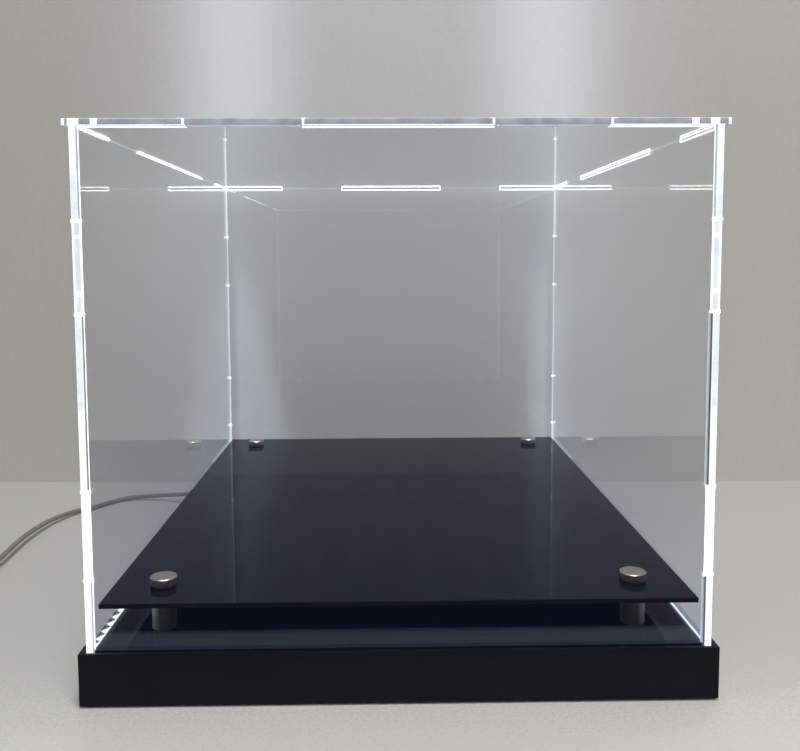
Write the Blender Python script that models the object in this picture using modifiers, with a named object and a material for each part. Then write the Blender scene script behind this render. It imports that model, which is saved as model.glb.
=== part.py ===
"""A lighted display box: a clear acrylic cover that lifts off a black acrylic base.

The cover is five laser-cut panels joined by fingers. Its foot stands in a channel round the base,
over a ring of LED strips that light the panels from below. A black shelf stands on four standoffs.
X runs across the front, Y runs from the front to the back, and the table is at Z = 0.
"""

import math

import bmesh
import bpy
from mathutils import Matrix, Vector

# Overall sizes, in metres
BASE_WIDTH = 0.300
BASE_DEPTH = 0.380
BASE_HEIGHT = 0.025
CASE_HEIGHT = 0.271

# Sheets
SIDE_WALL = 0.003
END_WALL = 0.002
TOP_SHEET = 0.003
BOTTOM_SHEET = 0.003
COVER_SHEET = 0.003
SHELF_SHEET = 0.0023

# Clearances
GLUE = 0.0001
SEAT = 0.0003
COVER_PLAY = 0.0003
FOOT_PLAY = 0.0005
RADIAL_PLAY = 0.0003

# Channel, rails and foot pads of the base
FOOT_DEPTH = 0.0076
LED_ROOM = 0.0034
RAIL_WIDTH = 0.010
PAD_DIAMETER = 0.014
PAD_HEIGHT = 0.0007
PAD_INSET = 0.016

# Fingers of the cover
FINGER_HEIGHT = 0.042
CORNER_TAB = 0.051
TAB_GAP = 0.051
OVERHANG = 0.0023

# LED strips, 120 chips to the metre
LED_PITCH = 1 / 120
STRIP_WIDTH = 0.0029
STRIP_THICKNESS = 0.0004
STRIP_END_GAP = 0.0014
CHIP_LENGTH = 0.0022
CHIP_WIDTH = 0.0016
CHIP_HEIGHT = 0.0007
CUSHION_LENGTH = 0.0036
CUSHION_FROM_END = 0.0165
JUMPER_DIAMETER = 0.0009

# Shelf and its standoffs
SHELF_MARGIN = 0.002
STANDOFF_INSET = 0.0245
BARREL_DIAMETER = 0.012
BARREL_HEIGHT = 0.019
BARREL_BORE = 0.006
CAP_DIAMETER = 0.013
CAP_HEIGHT = 0.0032
CAP_EDGE = 0.0004
WASHER_DIAMETER = 0.0124
WASHER_THICKNESS = 0.001
STUD_REACH = 0.008
SCREW_HEAD_DIAMETER = 0.009
SCREW_HEAD_HEIGHT = 0.0024
SCREW_REACH = 0.007

# Lead, its gland and its plug
CORD_DIAMETER = 0.0035
LEAD_FROM_BACK = 0.045
LEAD_HEIGHT = 0.0095
GLAND_FLANGE_DIAMETER = 0.009
GLAND_FLANGE = 0.0015
GLAND_NECK_DIAMETER = 0.006
BOOT_LENGTH = 0.013
BOOT_END_DIAMETER = 0.0048
BOARD_SIZE = (0.020, 0.012, 0.0016)
BOARD_FROM_RAIL = 0.018
FEED_DIAMETER = 0.0012
FEED_FROM_END = 0.032
FEED_BOW = 0.005
PLUG_BODY = (0.0158, 0.027, 0.0078)
PLUG_NECK_LENGTH = 0.007
PLUG_SHELL = (0.012, 0.0185, 0.0045)
PLUG_ROUNDING = 0.00156
NECK_START_DIAMETER = 0.0049
NECK_END_DIAMETER = 0.00655
NECK_SUNK = 0.00195
SHELL_WALL = 0.0004
SHELL_FLOOR = 0.0062

# The lead's free stretch, from the gland over the table, as chosen by hand
ROUTE = (
    (-0.1735, 0.1452, 0.0090),
    (-0.1816, 0.1484, 0.0076),
    (-0.1959, 0.1548, 0.0055),
    (-0.2096, 0.1584, 0.0038),
    (-0.2274, 0.1595, 0.0023),
    (-0.2410, 0.1487, 0.0018),
    (-0.2525, 0.1280, 0.0023),
    (-0.2630, 0.1080, 0.0034),
    (-0.2692, 0.0812, 0.0048),
    (-0.2707, 0.0453, 0.0060),
    (-0.2686, 0.0050, 0.0062),
    (-0.2692, -0.0250, 0.0040),
)
ROUTE_STEP = 0.0085

# The put-away coil: four layers wound in and out again
COIL_START = (-0.2705, -0.0560, 0.0018)
COIL_MID_DIAMETER = 0.038
COIL_LAYERS = 4
LAYER_TURNS = 2.014
RADIAL_PITCH = 0.0041
LAYER_PITCH = 0.00405
CLIMB_TURNS = 0.5
TAIL_LEAVE_TURNS = 0.25
TAIL_DROP = 0.75
LOOP_POINTS = 24
TAIL_STRAIGHT = 0.020
TAIL_STEPS = 6
PLUG_AXIS_HEIGHT = 0.0042

ROUND_SEGMENTS = 32
SAMPLES_PER_STEP = 8
JUMPER_STEPS = 8
INNER_LEAD_STEPS = 4
SMOOTH_ANGLE = math.radians(40)

# Levels, from the table up
BASE_LOW = PAD_HEIGHT + SEAT
BASE_TOP = BASE_LOW + BASE_HEIGHT
BOTTOM_TOP = BASE_LOW + BOTTOM_SHEET
TOP_UNDERSIDE = BASE_TOP - TOP_SHEET
COVER_FOOT = BASE_TOP - FOOT_DEPTH
CHANNEL_FLOOR = COVER_FOOT - LED_ROOM
STRIP_LOW = CHANNEL_FLOOR + GLUE
STRIP_TOP = STRIP_LOW + STRIP_THICKNESS
COVER_TOP = CASE_HEIGHT
WALL_TOP = COVER_TOP - COVER_SHEET
BARREL_LOW = BASE_TOP + GLUE
BARREL_TOP = BARREL_LOW + BARREL_HEIGHT
SHELF_LOW = BARREL_TOP + GLUE
SHELF_TOP = SHELF_LOW + SHELF_SHEET
WASHER_LOW = SHELF_TOP + GLUE
CAP_LOW = WASHER_LOW + WASHER_THICKNESS + GLUE

# Half widths and half depths, from the outside in
OUTER_X = BASE_WIDTH / 2
OUTER_Y = BASE_DEPTH / 2
WALL_INNER_X = OUTER_X - SIDE_WALL
WALL_INNER_Y = OUTER_Y - END_WALL
COVER_X = WALL_INNER_X - COVER_PLAY
COVER_Y = WALL_INNER_Y - COVER_PLAY
INSIDE_X = COVER_X - COVER_SHEET
INSIDE_Y = COVER_Y - COVER_SHEET
PLATE_X = INSIDE_X - FOOT_PLAY
PLATE_Y = INSIDE_Y - FOOT_PLAY
SHELF_X = INSIDE_X - SHELF_MARGIN
SHELF_Y = INSIDE_Y - SHELF_MARGIN
STANDOFF_X = SHELF_X - STANDOFF_INSET
STANDOFF_Y = SHELF_Y - STANDOFF_INSET
CHANNEL_X = (WALL_INNER_X + PLATE_X) / 2
CHANNEL_Y = (WALL_INNER_Y + PLATE_Y) / 2
STRIP_HALF_X = PLATE_X - STRIP_END_GAP
STRIP_HALF_Y = PLATE_Y - STRIP_END_GAP
LEAD_Y = OUTER_Y - LEAD_FROM_BACK
STUD_DIAMETER = BARREL_BORE - 2 * RADIAL_PLAY

CORNERS = {
    "front_left": (-1, -1),
    "front_right": (1, -1),
    "back_left": (-1, 1),
    "back_right": (1, 1),
}

for old in list(bpy.data.objects):
    bpy.data.objects.remove(old)

parts = bpy.data.collections.new("lighted_display_box")
cutters = bpy.data.collections.new("cutters")
bpy.context.scene.collection.children.link(parts)
bpy.context.scene.collection.children.link(cutters)


def material(name, color, roughness, metallic=0.0, clear=0.0, glow=0.0):
    """A Principled material; clear lets light through and glow makes it a lamp."""
    made = bpy.data.materials.new(name)
    made.use_nodes = True
    shader = made.node_tree.nodes["Principled BSDF"]
    shader.inputs["Base Color"].default_value = (*color, 1.0)
    shader.inputs["Roughness"].default_value = roughness
    shader.inputs["Metallic"].default_value = metallic
    shader.inputs["Transmission Weight"].default_value = clear
    shader.inputs["Emission Color"].default_value = (*color, 1.0)
    shader.inputs["Emission Strength"].default_value = glow
    made.diffuse_color = (*color, 1.0 - 0.8 * clear)
    return made


CLEAR_ACRYLIC = material("clear_acrylic", (0.93, 0.96, 1.0), 0.02, clear=1.0)
BLACK_ACRYLIC = material("black_acrylic", (0.012, 0.012, 0.014), 0.06)
BRUSHED_STEEL = material("brushed_steel", (0.62, 0.60, 0.57), 0.28, metallic=1.0)
CLEAR_WASHER = material("clear_washer", (0.80, 0.82, 0.84), 0.35, clear=0.6)
LED_STRIP = material("led_strip", (0.90, 0.95, 1.0), 0.4, glow=4.0)
CIRCUIT_BOARD = material("circuit_board", (0.85, 0.86, 0.84), 0.5)
SILICONE = material("silicone", (0.75, 0.77, 0.80), 0.4, clear=0.5)
BLACK_RUBBER = material("black_rubber", (0.02, 0.02, 0.02), 0.8)
WIRE_JACKET = material("wire_jacket", (0.70, 0.70, 0.68), 0.45)
GREY_PVC = material("grey_pvc", (0.55, 0.56, 0.56), 0.42)
PLATED_STEEL = material("plated_steel", (0.75, 0.75, 0.74), 0.22, metallic=1.0)


def add(name, mesh, look, collection=parts):
    """Puts a mesh in the scene as one named object."""
    made = bpy.data.objects.new(name, mesh)
    collection.objects.link(made)
    if look:
        mesh.materials.append(look)
    return made


def mesh_of(name, shape):
    """Turns a bmesh into a mesh and frees it."""
    mesh = bpy.data.meshes.new(name)
    shape.to_mesh(mesh)
    shape.free()
    return mesh


def block(name, low, high, look):
    """A box between two corners, with its origin at its middle."""
    shape = bmesh.new()
    size = Vector(high) - Vector(low)
    bmesh.ops.create_cube(shape, size=1.0, matrix=Matrix.Diagonal((*size, 1.0)))
    made = add(name, mesh_of(name, shape), look)
    made.location = (Vector(low) + Vector(high)) / 2
    return made


def upright(name, x, y, low, high, diameter, look):
    """A cylinder standing on a point, with smooth sides."""
    shape = bmesh.new()
    bmesh.ops.create_cone(
        shape,
        cap_ends=True,
        segments=ROUND_SEGMENTS,
        radius1=diameter / 2,
        radius2=diameter / 2,
        depth=high - low,
    )
    made = add(name, mesh_of(name, shape), look)
    made.location = (x, y, (low + high) / 2)
    smooth(made)
    return made


def smooth(made):
    """Shades round faces smooth and keeps the sharp edges."""
    made.data.shade_smooth()
    made.data.set_sharp_from_angle(angle=SMOOTH_ANGLE)


def as_cutter(made):
    """Hides an object that only shapes others."""
    made.hide_render = True
    made.display_type = "WIRE"
    for holder in list(made.users_collection):
        holder.objects.unlink(made)
    cutters.objects.link(made)
    return made


def boxes_cutter(name, boxes):
    """One cutter that holds several boxes standing apart, each given by two corners."""
    shape = bmesh.new()
    for low, high in boxes:
        size = Vector(high) - Vector(low)
        middle = (Vector(low) + Vector(high)) / 2
        place = Matrix.Translation(middle) @ Matrix.Diagonal((*size, 1.0))
        bmesh.ops.create_cube(shape, size=1.0, matrix=place)
    return as_cutter(add(name, mesh_of(name, shape), None))


def combine(made, tool, operation):
    """Cuts one object with another, or joins it on."""
    step = made.modifiers.new(tool.name, "BOOLEAN")
    step.operation = operation
    step.solver = "EXACT"
    step.object = tool


def rounded(made, width, segments=2):
    """Rounds the sharp edges of an object."""
    step = made.modifiers.new("rounding", "BEVEL")
    step.width = width
    step.segments = segments
    step.limit_method = "ANGLE"
    step.angle_limit = SMOOTH_ANGLE


def tube(name, points, diameter, resolution, look):
    """A round tube along points, closed at both ends."""
    curve = bpy.data.curves.new(name, "CURVE")
    curve.dimensions = "3D"
    curve.bevel_depth = diameter / 2
    curve.bevel_resolution = resolution
    curve.use_fill_caps = True
    spline = curve.splines.new("POLY")
    spline.points.add(len(points) - 1)
    for place, point in zip(spline.points, points):
        place.co = (*point, 1.0)
    return add(name, curve, look)


def finger_bands():
    """The heights at which the front and back panels reach out to the side faces."""
    low = COVER_FOOT + FINGER_HEIGHT
    high = WALL_TOP - FINGER_HEIGHT
    return ((low, low + FINGER_HEIGHT), (high - FINGER_HEIGHT, high))


def top_tabs(half):
    """The stretches of a wall's top edge, along its length, that pass up through the top panel."""
    inner = half - CORNER_TAB - TAB_GAP
    return ((-half, -half + CORNER_TAB), (-inner, inner), (half - CORNER_TAB, half))


def top_gaps(half):
    """The stretches between the tabs, where a wall stops under the top panel."""
    tabs = top_tabs(half)
    return ((tabs[0][1], tabs[1][0]), (tabs[1][1], tabs[2][0]))


def side_panel(name, side):
    """A side wall of the cover, notched where the front and back panels' fingers pass."""
    inner, outer = sorted((side * INSIDE_X, side * COVER_X))
    panel = block(name, (inner, -COVER_Y, COVER_FOOT), (outer, COVER_Y, COVER_TOP), CLEAR_ACRYLIC)
    over = COVER_SHEET
    boxes = []
    for start, end in top_gaps(COVER_Y):
        low = (inner - over, start, WALL_TOP - GLUE)
        high = (outer + over, end, COVER_TOP + over)
        boxes.append((low, high))
    for bottom, top in finger_bands():
        for end in (-1, 1):
            y_low, y_high = sorted((end * (INSIDE_Y - GLUE), end * (COVER_Y + over)))
            low = (inner - over, y_low, bottom - GLUE)
            high = (outer + over, y_high, top + GLUE)
            boxes.append((low, high))
    combine(panel, boxes_cutter(name + "_notches", boxes), "DIFFERENCE")
    return panel


def end_panel(name, end):
    """The front or back wall of the cover, with fingers that reach out to the side faces."""
    inner, outer = sorted((end * INSIDE_Y, end * COVER_Y))
    panel = block(name, (-COVER_X, inner, COVER_FOOT), (COVER_X, outer, COVER_TOP), CLEAR_ACRYLIC)
    over = COVER_SHEET
    boxes = []
    for start, stop in top_gaps(COVER_X):
        low = (start, inner - over, WALL_TOP - GLUE)
        high = (stop, outer + over, COVER_TOP + over)
        boxes.append((low, high))
    (low_start, low_end), (high_start, high_end) = finger_bands()
    recesses = (
        (COVER_FOOT - over, low_start),
        (low_end, high_start),
        (high_end, COVER_TOP + over),
    )
    for bottom, top in recesses:
        for side in (-1, 1):
            x_low, x_high = sorted((side * (INSIDE_X - GLUE), side * (COVER_X + over)))
            boxes.append(((x_low, inner - over, bottom), (x_high, outer + over, top)))
    combine(panel, boxes_cutter(name + "_notches", boxes), "DIFFERENCE")
    return panel


def top_panel():
    """The lid sheet of the cover, with a slot for each tab of the walls."""
    reach_x = COVER_X + OVERHANG
    reach_y = COVER_Y + OVERHANG
    low = (-reach_x, -reach_y, WALL_TOP)
    high = (reach_x, reach_y, COVER_TOP)
    panel = block("top_panel", low, high, CLEAR_ACRYLIC)
    below = WALL_TOP - COVER_SHEET
    above = COVER_TOP + COVER_SHEET
    side_slots = []
    for start, end in top_tabs(COVER_Y):
        for side in (-1, 1):
            x_low, x_high = sorted((side * (INSIDE_X - GLUE), side * (COVER_X + GLUE)))
            side_slots.append(((x_low, start - GLUE, below), (x_high, end + GLUE, above)))
    end_slots = []
    for start, stop in top_tabs(COVER_X):
        for end in (-1, 1):
            y_low, y_high = sorted((end * (INSIDE_Y - GLUE), end * (COVER_Y + GLUE)))
            end_slots.append(((start - GLUE, y_low, below), (stop + GLUE, y_high, above)))
    combine(panel, boxes_cutter("side_tab_slots", side_slots), "DIFFERENCE")
    combine(panel, boxes_cutter("end_tab_slots", end_slots), "DIFFERENCE")
    return panel


def cover():
    """The five clear panels."""
    top_panel()
    side_panel("left_panel", -1)
    side_panel("right_panel", 1)
    end_panel("front_panel", -1)
    end_panel("back_panel", 1)


def rod_cutter(name, start, end, diameter):
    """A round cutter between two points, for a drilled hole."""
    start = Vector(start)
    end = Vector(end)
    shape = bmesh.new()
    bmesh.ops.create_cone(
        shape,
        cap_ends=True,
        segments=ROUND_SEGMENTS // 2,
        radius1=diameter / 2,
        radius2=diameter / 2,
        depth=(end - start).length,
    )
    made = add(name, mesh_of(name, shape), None)
    made.location = (start + end) / 2
    made.rotation_euler = (end - start).to_track_quat("Z", "Y").to_euler()
    return as_cutter(made)


def base_walls():
    """The four outer walls; the front and back ones run the full width."""
    for name, end in (("front", -1), ("back", 1)):
        inner, outer = sorted((end * WALL_INNER_Y, end * OUTER_Y))
        low = (-OUTER_X, inner, BASE_LOW)
        block("base_wall_" + name, low, (OUTER_X, outer, BASE_TOP), BLACK_ACRYLIC)
    reach = WALL_INNER_Y - GLUE
    for name, side in (("left", -1), ("right", 1)):
        inner, outer = sorted((side * WALL_INNER_X, side * OUTER_X))
        low = (inner, -reach, BASE_LOW)
        wall = block("base_wall_" + name, low, (outer, reach, BASE_TOP), BLACK_ACRYLIC)
        if side < 0:
            over = SIDE_WALL
            hole = rod_cutter(
                "lead_hole_in_wall",
                (-OUTER_X - over, LEAD_Y, LEAD_HEIGHT),
                (-WALL_INNER_X + over, LEAD_Y, LEAD_HEIGHT),
                GLAND_NECK_DIAMETER + 2 * RADIAL_PLAY,
            )
            combine(wall, hole, "DIFFERENCE")


def base_sheets():
    """The glossy top sheet and the bottom sheet of the base."""
    top = block(
        "base_top",
        (-PLATE_X, -PLATE_Y, TOP_UNDERSIDE),
        (PLATE_X, PLATE_Y, BASE_TOP),
        BLACK_ACRYLIC,
    )
    for corner, (side, end) in CORNERS.items():
        x = side * STANDOFF_X
        y = end * STANDOFF_Y
        hole = rod_cutter(
            "screw_hole_" + corner,
            (x, y, TOP_UNDERSIDE - TOP_SHEET),
            (x, y, BASE_TOP + TOP_SHEET),
            STUD_DIAMETER + 2 * RADIAL_PLAY,
        )
        combine(top, hole, "DIFFERENCE")
    reach_x = WALL_INNER_X - GLUE
    reach_y = WALL_INNER_Y - GLUE
    low = (-reach_x, -reach_y, BASE_LOW)
    block("base_bottom", low, (reach_x, reach_y, BOTTOM_TOP), BLACK_ACRYLIC)


def rails_and_ledges():
    """Rails that carry the top sheet, and lower ledges beside them: the channel's floor."""
    low = BOTTOM_TOP + GLUE
    rail_top = TOP_UNDERSIDE - GLUE
    rail_x = PLATE_X - RAIL_WIDTH
    rail_y = PLATE_Y - RAIL_WIDTH
    ledge_x = PLATE_X + GLUE
    ledge_y = PLATE_Y + GLUE
    reach = WALL_INNER_Y - GLUE
    sides = {}
    for name, side in (("left", -1), ("right", 1)):
        start, stop = sorted((side * rail_x, side * PLATE_X))
        sides["rail_" + name] = ((start, -PLATE_Y, low), (stop, PLATE_Y, rail_top))
        start, stop = sorted((side * ledge_x, side * (WALL_INNER_X - GLUE)))
        sides["ledge_" + name] = ((start, -reach, low), (stop, reach, CHANNEL_FLOOR))
    made = {name: block(name, *box, BLACK_ACRYLIC) for name, box in sides.items()}
    reach = rail_x - GLUE
    for name, end in (("front", -1), ("back", 1)):
        start, stop = sorted((end * rail_y, end * PLATE_Y))
        block("rail_" + name, (-reach, start, low), (reach, stop, rail_top), BLACK_ACRYLIC)
        start, stop = sorted((end * ledge_y, end * (WALL_INNER_Y - GLUE)))
        high = (PLATE_X, stop, CHANNEL_FLOOR)
        block("ledge_" + name, (-PLATE_X, start, low), high, BLACK_ACRYLIC)
    over = RAIL_WIDTH / 2
    lead_hole = rod_cutter(
        "lead_hole_in_rail",
        (-OUTER_X, LEAD_Y, LEAD_HEIGHT),
        (-rail_x + over, LEAD_Y, LEAD_HEIGHT),
        CORD_DIAMETER + 2 * RADIAL_PLAY,
    )
    combine(made["rail_left"], lead_hole, "DIFFERENCE")
    gland_pocket = rod_cutter(
        "gland_hole_in_ledge",
        (-OUTER_X, LEAD_Y, LEAD_HEIGHT),
        (-PLATE_X + over, LEAD_Y, LEAD_HEIGHT),
        GLAND_NECK_DIAMETER + 2 * RADIAL_PLAY,
    )
    combine(made["ledge_left"], gland_pocket, "DIFFERENCE")
    feed_end = feed_path()[0]
    feed_hole = rod_cutter(
        "feed_hole_in_rail",
        (-PLATE_X - over, feed_end[1], feed_end[2]),
        (-rail_x + over, feed_end[1], feed_end[2]),
        FEED_DIAMETER + 2 * RADIAL_PLAY,
    )
    combine(made["rail_left"], feed_hole, "DIFFERENCE")


def led_positions(half):
    """Chip centres along one strip, a pitch apart and even about the middle."""
    count = 2 * math.floor((half - CHIP_LENGTH / 2) / LED_PITCH + 0.5)
    return [(index - (count - 1) / 2) * LED_PITCH for index in range(count)]


def between_chips(from_end):
    """The place between two chips of a side strip that is nearest to a distance from its end."""
    return round((STRIP_HALF_Y - from_end) / LED_PITCH) * LED_PITCH


def led_strip(name, along_y, side):
    """One strip: a flexible board with its chips standing on it."""
    half = STRIP_HALF_Y if along_y else STRIP_HALF_X
    centre = side * (CHANNEL_X if along_y else CHANNEL_Y)

    def corner(across, along, z):
        if along_y:
            return (centre + across, along, z)
        return (along, centre + across, z)

    board = block(
        name,
        corner(-STRIP_WIDTH / 2, -half, STRIP_LOW),
        corner(STRIP_WIDTH / 2, half, STRIP_TOP),
        LED_STRIP,
    )
    sunk = STRIP_THICKNESS / 2
    chips = []
    for place in led_positions(half):
        low = corner(-CHIP_WIDTH / 2, place - CHIP_LENGTH / 2, STRIP_TOP - sunk)
        high = corner(CHIP_WIDTH / 2, place + CHIP_LENGTH / 2, STRIP_TOP + CHIP_HEIGHT)
        chips.append((low, high))
    combine(board, boxes_cutter(name + "_chips", chips), "UNION")


def corner_jumper(name, side, end):
    """The short wire that joins two strips round a corner of the channel."""
    height = STRIP_LOW + JUMPER_DIAMETER / 2 + GLUE
    gap = SEAT
    start = Vector((side * CHANNEL_X, end * (STRIP_HALF_Y + gap), height))
    stop = Vector((side * (STRIP_HALF_X + gap), end * CHANNEL_Y, height))
    bend = Vector((start.x, stop.y, height))
    points = []
    for index in range(JUMPER_STEPS + 1):
        share = index / JUMPER_STEPS
        points.append(start.lerp(bend, share).lerp(bend.lerp(stop, share), share))
    tube(name, points, JUMPER_DIAMETER, 2, WIRE_JACKET)


def feed_path():
    """The feed wire's points: from the strip's end, through the rail and down to the board."""
    height = STRIP_TOP + GLUE + FEED_DIAMETER / 2
    strip_y = between_chips(FEED_FROM_END)
    board_x = -PLATE_X + RAIL_WIDTH + BOARD_FROM_RAIL
    board_top = BOTTOM_TOP + GLUE + BOARD_SIZE[2] + SEAT
    return (
        (-CHANNEL_X + CHIP_WIDTH / 2, strip_y, height),
        (-PLATE_X + RAIL_WIDTH + FEED_DIAMETER, strip_y, height),
        (board_x - FEED_BOW, (strip_y + LEAD_Y) / 2, height - FEED_DIAMETER),
        (board_x, LEAD_Y, board_top + FEED_BOW),
        (board_x, LEAD_Y, board_top),
    )


def lighting():
    """LED strips, the wires between them, the feed and the silicone cushions that carry the cover."""
    led_strip("led_strip_left", True, -1)
    led_strip("led_strip_right", True, 1)
    led_strip("led_strip_front", False, -1)
    led_strip("led_strip_back", False, 1)
    corner_jumper("corner_jumper_front_left", -1, -1)
    corner_jumper("corner_jumper_front_right", 1, -1)
    corner_jumper("corner_jumper_back_right", 1, 1)
    cushion_y = between_chips(CUSHION_FROM_END)
    for corner, (side, end) in CORNERS.items():
        x = side * CHANNEL_X
        y = end * cushion_y
        low = (x - STRIP_WIDTH / 2, y - CUSHION_LENGTH / 2, STRIP_TOP + GLUE)
        high = (x + STRIP_WIDTH / 2, y + CUSHION_LENGTH / 2, COVER_FOOT - SEAT)
        block("cover_cushion_" + corner, low, high, SILICONE)


def shelf():
    """The raised black shelf, drilled at its corners."""
    plate = block(
        "shelf",
        (-SHELF_X, -SHELF_Y, SHELF_LOW),
        (SHELF_X, SHELF_Y, SHELF_TOP),
        BLACK_ACRYLIC,
    )
    for corner, (side, end) in CORNERS.items():
        x = side * STANDOFF_X
        y = end * STANDOFF_Y
        low = (x, y, SHELF_LOW - SHELF_SHEET)
        high = (x, y, SHELF_TOP + SHELF_SHEET)
        combine(plate, rod_cutter("stud_hole_" + corner, low, high, BARREL_BORE), "DIFFERENCE")


def standoff(corner, side, end):
    """One standoff: barrel, cap with its stud, washer and the screw that holds the barrel down."""
    x = side * STANDOFF_X
    y = end * STANDOFF_Y
    rings = (
        ("barrel_", BARREL_LOW, BARREL_TOP, BARREL_DIAMETER, BRUSHED_STEEL),
        ("washer_", WASHER_LOW, WASHER_LOW + WASHER_THICKNESS, WASHER_DIAMETER, CLEAR_WASHER),
    )
    over = WASHER_THICKNESS
    for kind, low, high, diameter, look in rings:
        ring = upright(kind + corner, x, y, low, high, diameter, look)
        bore = rod_cutter(kind + "bore_" + corner, (x, y, low - over), (x, y, high + over), BARREL_BORE)
        combine(ring, bore, "DIFFERENCE")

    cap_top = CAP_LOW + CAP_HEIGHT
    stud_low = BARREL_TOP - STUD_REACH
    cap = turned(
        "cap_" + corner,
        (
            (CAP_DIAMETER / 2 - CAP_EDGE, cap_top),
            (CAP_DIAMETER / 2, cap_top - CAP_EDGE),
            (CAP_DIAMETER / 2, CAP_LOW),
            (STUD_DIAMETER / 2, CAP_LOW),
            (STUD_DIAMETER / 2, stud_low),
        ),
        BRUSHED_STEEL,
    )
    cap.location = (x, y, 0)

    head_top = TOP_UNDERSIDE - GLUE
    screw = turned(
        "standoff_screw_" + corner,
        (
            (STUD_DIAMETER / 2, BARREL_LOW + SCREW_REACH),
            (STUD_DIAMETER / 2, head_top),
            (SCREW_HEAD_DIAMETER / 2, head_top),
            (SCREW_HEAD_DIAMETER / 2, head_top - SCREW_HEAD_HEIGHT),
        ),
        BRUSHED_STEEL,
    )
    screw.location = (x, y, 0)


def turned(name, profile, look):
    """A solid of revolution about Z, from its outer profile at +X, listed from top to bottom."""
    shape = bmesh.new()
    places = [(0.0, profile[0][1]), *profile, (0.0, profile[-1][1])]
    corners = [shape.verts.new((radius, 0.0, height)) for radius, height in places]
    for first, second in zip(corners, corners[1:]):
        shape.edges.new((first, second))
    made = add(name, mesh_of(name, shape), look)
    screw = made.modifiers.new("turn", "SCREW")
    screw.steps = ROUND_SEGMENTS
    screw.render_steps = ROUND_SEGMENTS
    screw.use_merge_vertices = True
    screw.merge_threshold = GLUE / 10
    return made


def foot_pads():
    """Four thin rubber discs that the base stands on."""
    for corner, (side, end) in CORNERS.items():
        x = side * (OUTER_X - PAD_INSET)
        y = end * (OUTER_Y - PAD_INSET)
        upright("foot_pad_" + corner, x, y, 0.0, PAD_HEIGHT, PAD_DIAMETER, BLACK_RUBBER)


def smooth_route(points, step):
    """Points a step apart on one smooth curve through the given points."""
    places = [Vector(point) for point in points]
    places = [2 * places[0] - places[1], *places, 2 * places[-1] - places[-2]]
    fine = []
    for before, start, end, after in zip(places, places[1:], places[2:], places[3:]):
        pieces = max(2, math.ceil((end - start).length / step * SAMPLES_PER_STEP))
        for index in range(pieces):
            t = index / pieces
            fine.append(
                0.5
                * (
                    2 * start
                    + (end - before) * t
                    + (2 * before - 5 * start + 4 * end - after) * t**2
                    + (3 * start - before - 3 * end + after) * t**3
                )
            )
    fine.append(places[-2])
    length = sum((second - first).length for first, second in zip(fine, fine[1:]))
    count = max(2, round(length / step))
    spaced = [fine[0]]
    travelled = 0.0
    for first, second in zip(fine, fine[1:]):
        piece = (second - first).length
        while len(spaced) < count and travelled + piece >= length * len(spaced) / count:
            share = (length * len(spaced) / count - travelled) / piece
            spaced.append(first.lerp(second, share))
        travelled += piece
    spaced.append(fine[-1])
    return spaced


def exit_point():
    """Where the lead leaves the gland's boot."""
    boot_end = -OUTER_X - GLUE - GLAND_FLANGE - BOOT_LENGTH
    return Vector((boot_end - SEAT, LEAD_Y, LEAD_HEIGHT))


def free_stretch():
    """The lead from the boot to the coil, one smooth curve."""
    leave = exit_point()
    first = leave - Vector((CORD_DIAMETER, 0.0, 0.0))
    arrive = Vector(COIL_START) + Vector((0.0, CORD_DIAMETER + SEAT, 0.0))
    last = arrive + Vector((0.0, CORD_DIAMETER, 0.0))
    return [leave, *smooth_route([first, *ROUTE, last], ROUTE_STEP), arrive]


def coil_points():
    """The coil's points, its tail round the outside and the straight end at the plug."""
    start = Vector(COIL_START)
    swing = LAYER_TURNS * RADIAL_PITCH
    largest = COIL_MID_DIAMETER / 2 + swing / 2
    centre = (start.x - largest, start.y)
    total = COIL_LAYERS * LAYER_TURNS
    points = [start + Vector((0.0, CORD_DIAMETER, 0.0)), start + Vector((0.0, CORD_DIAMETER / 2, 0.0))]
    count = round(total * LOOP_POINTS)
    for index in range(count + 1):
        turn = total * index / count
        height = start.z + LAYER_PITCH * climbed(turn)
        points.append(on_turn(centre, largest - swing * inward(turn), turn, height))

    top = start.z + LAYER_PITCH * (COIL_LAYERS - 1)
    end_turn = math.ceil(total) + 1 / 2
    count = round((end_turn - total) * LOOP_POINTS)
    for index in range(1, count + 1):
        turn = total + (end_turn - total) * index / count
        outward = min(1.0, (turn - total) / TAIL_LEAVE_TURNS)
        leave = total + TAIL_LEAVE_TURNS
        downward = max(0.0, (turn - leave) / (end_turn - leave))
        height = top + (PLUG_AXIS_HEIGHT - top) * ease(downward) * TAIL_DROP
        points.append(on_turn(centre, largest + RADIAL_PITCH * ease(outward), turn, height))
    last = points[-1]
    for index in range(1, TAIL_STEPS + 1):
        along = last.y + TAIL_STRAIGHT * index / TAIL_STEPS
        level = ease(min(1.0, index / (TAIL_STEPS - 1)))
        points.append(Vector((last.x, along, last.z + (PLUG_AXIS_HEIGHT - last.z) * level)))
    return points


def on_turn(centre, radius, turn, height):
    """The point of a clockwise winding after some turns, at a radius and a height."""
    angle = -2 * math.pi * turn
    return Vector((centre[0] + radius * math.cos(angle), centre[1] + radius * math.sin(angle), height))


def inward(turn):
    """How far in the winding is, from 0 to 1: it goes in over one layer and out over the next."""
    fold = turn / LAYER_TURNS % 2
    return fold if fold < 1 else 2 - fold


def climbed(turn):
    """How many layers have been climbed after some turns."""
    layers = 0.0
    for index in range(1, COIL_LAYERS):
        begin = index * LAYER_TURNS - CLIMB_TURNS / 2
        layers += min(1.0, max(0.0, (turn - begin) / CLIMB_TURNS))
    return layers


def ease(share):
    """A smooth step from 0 to 1."""
    return share * share * (3 - 2 * share)


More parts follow.
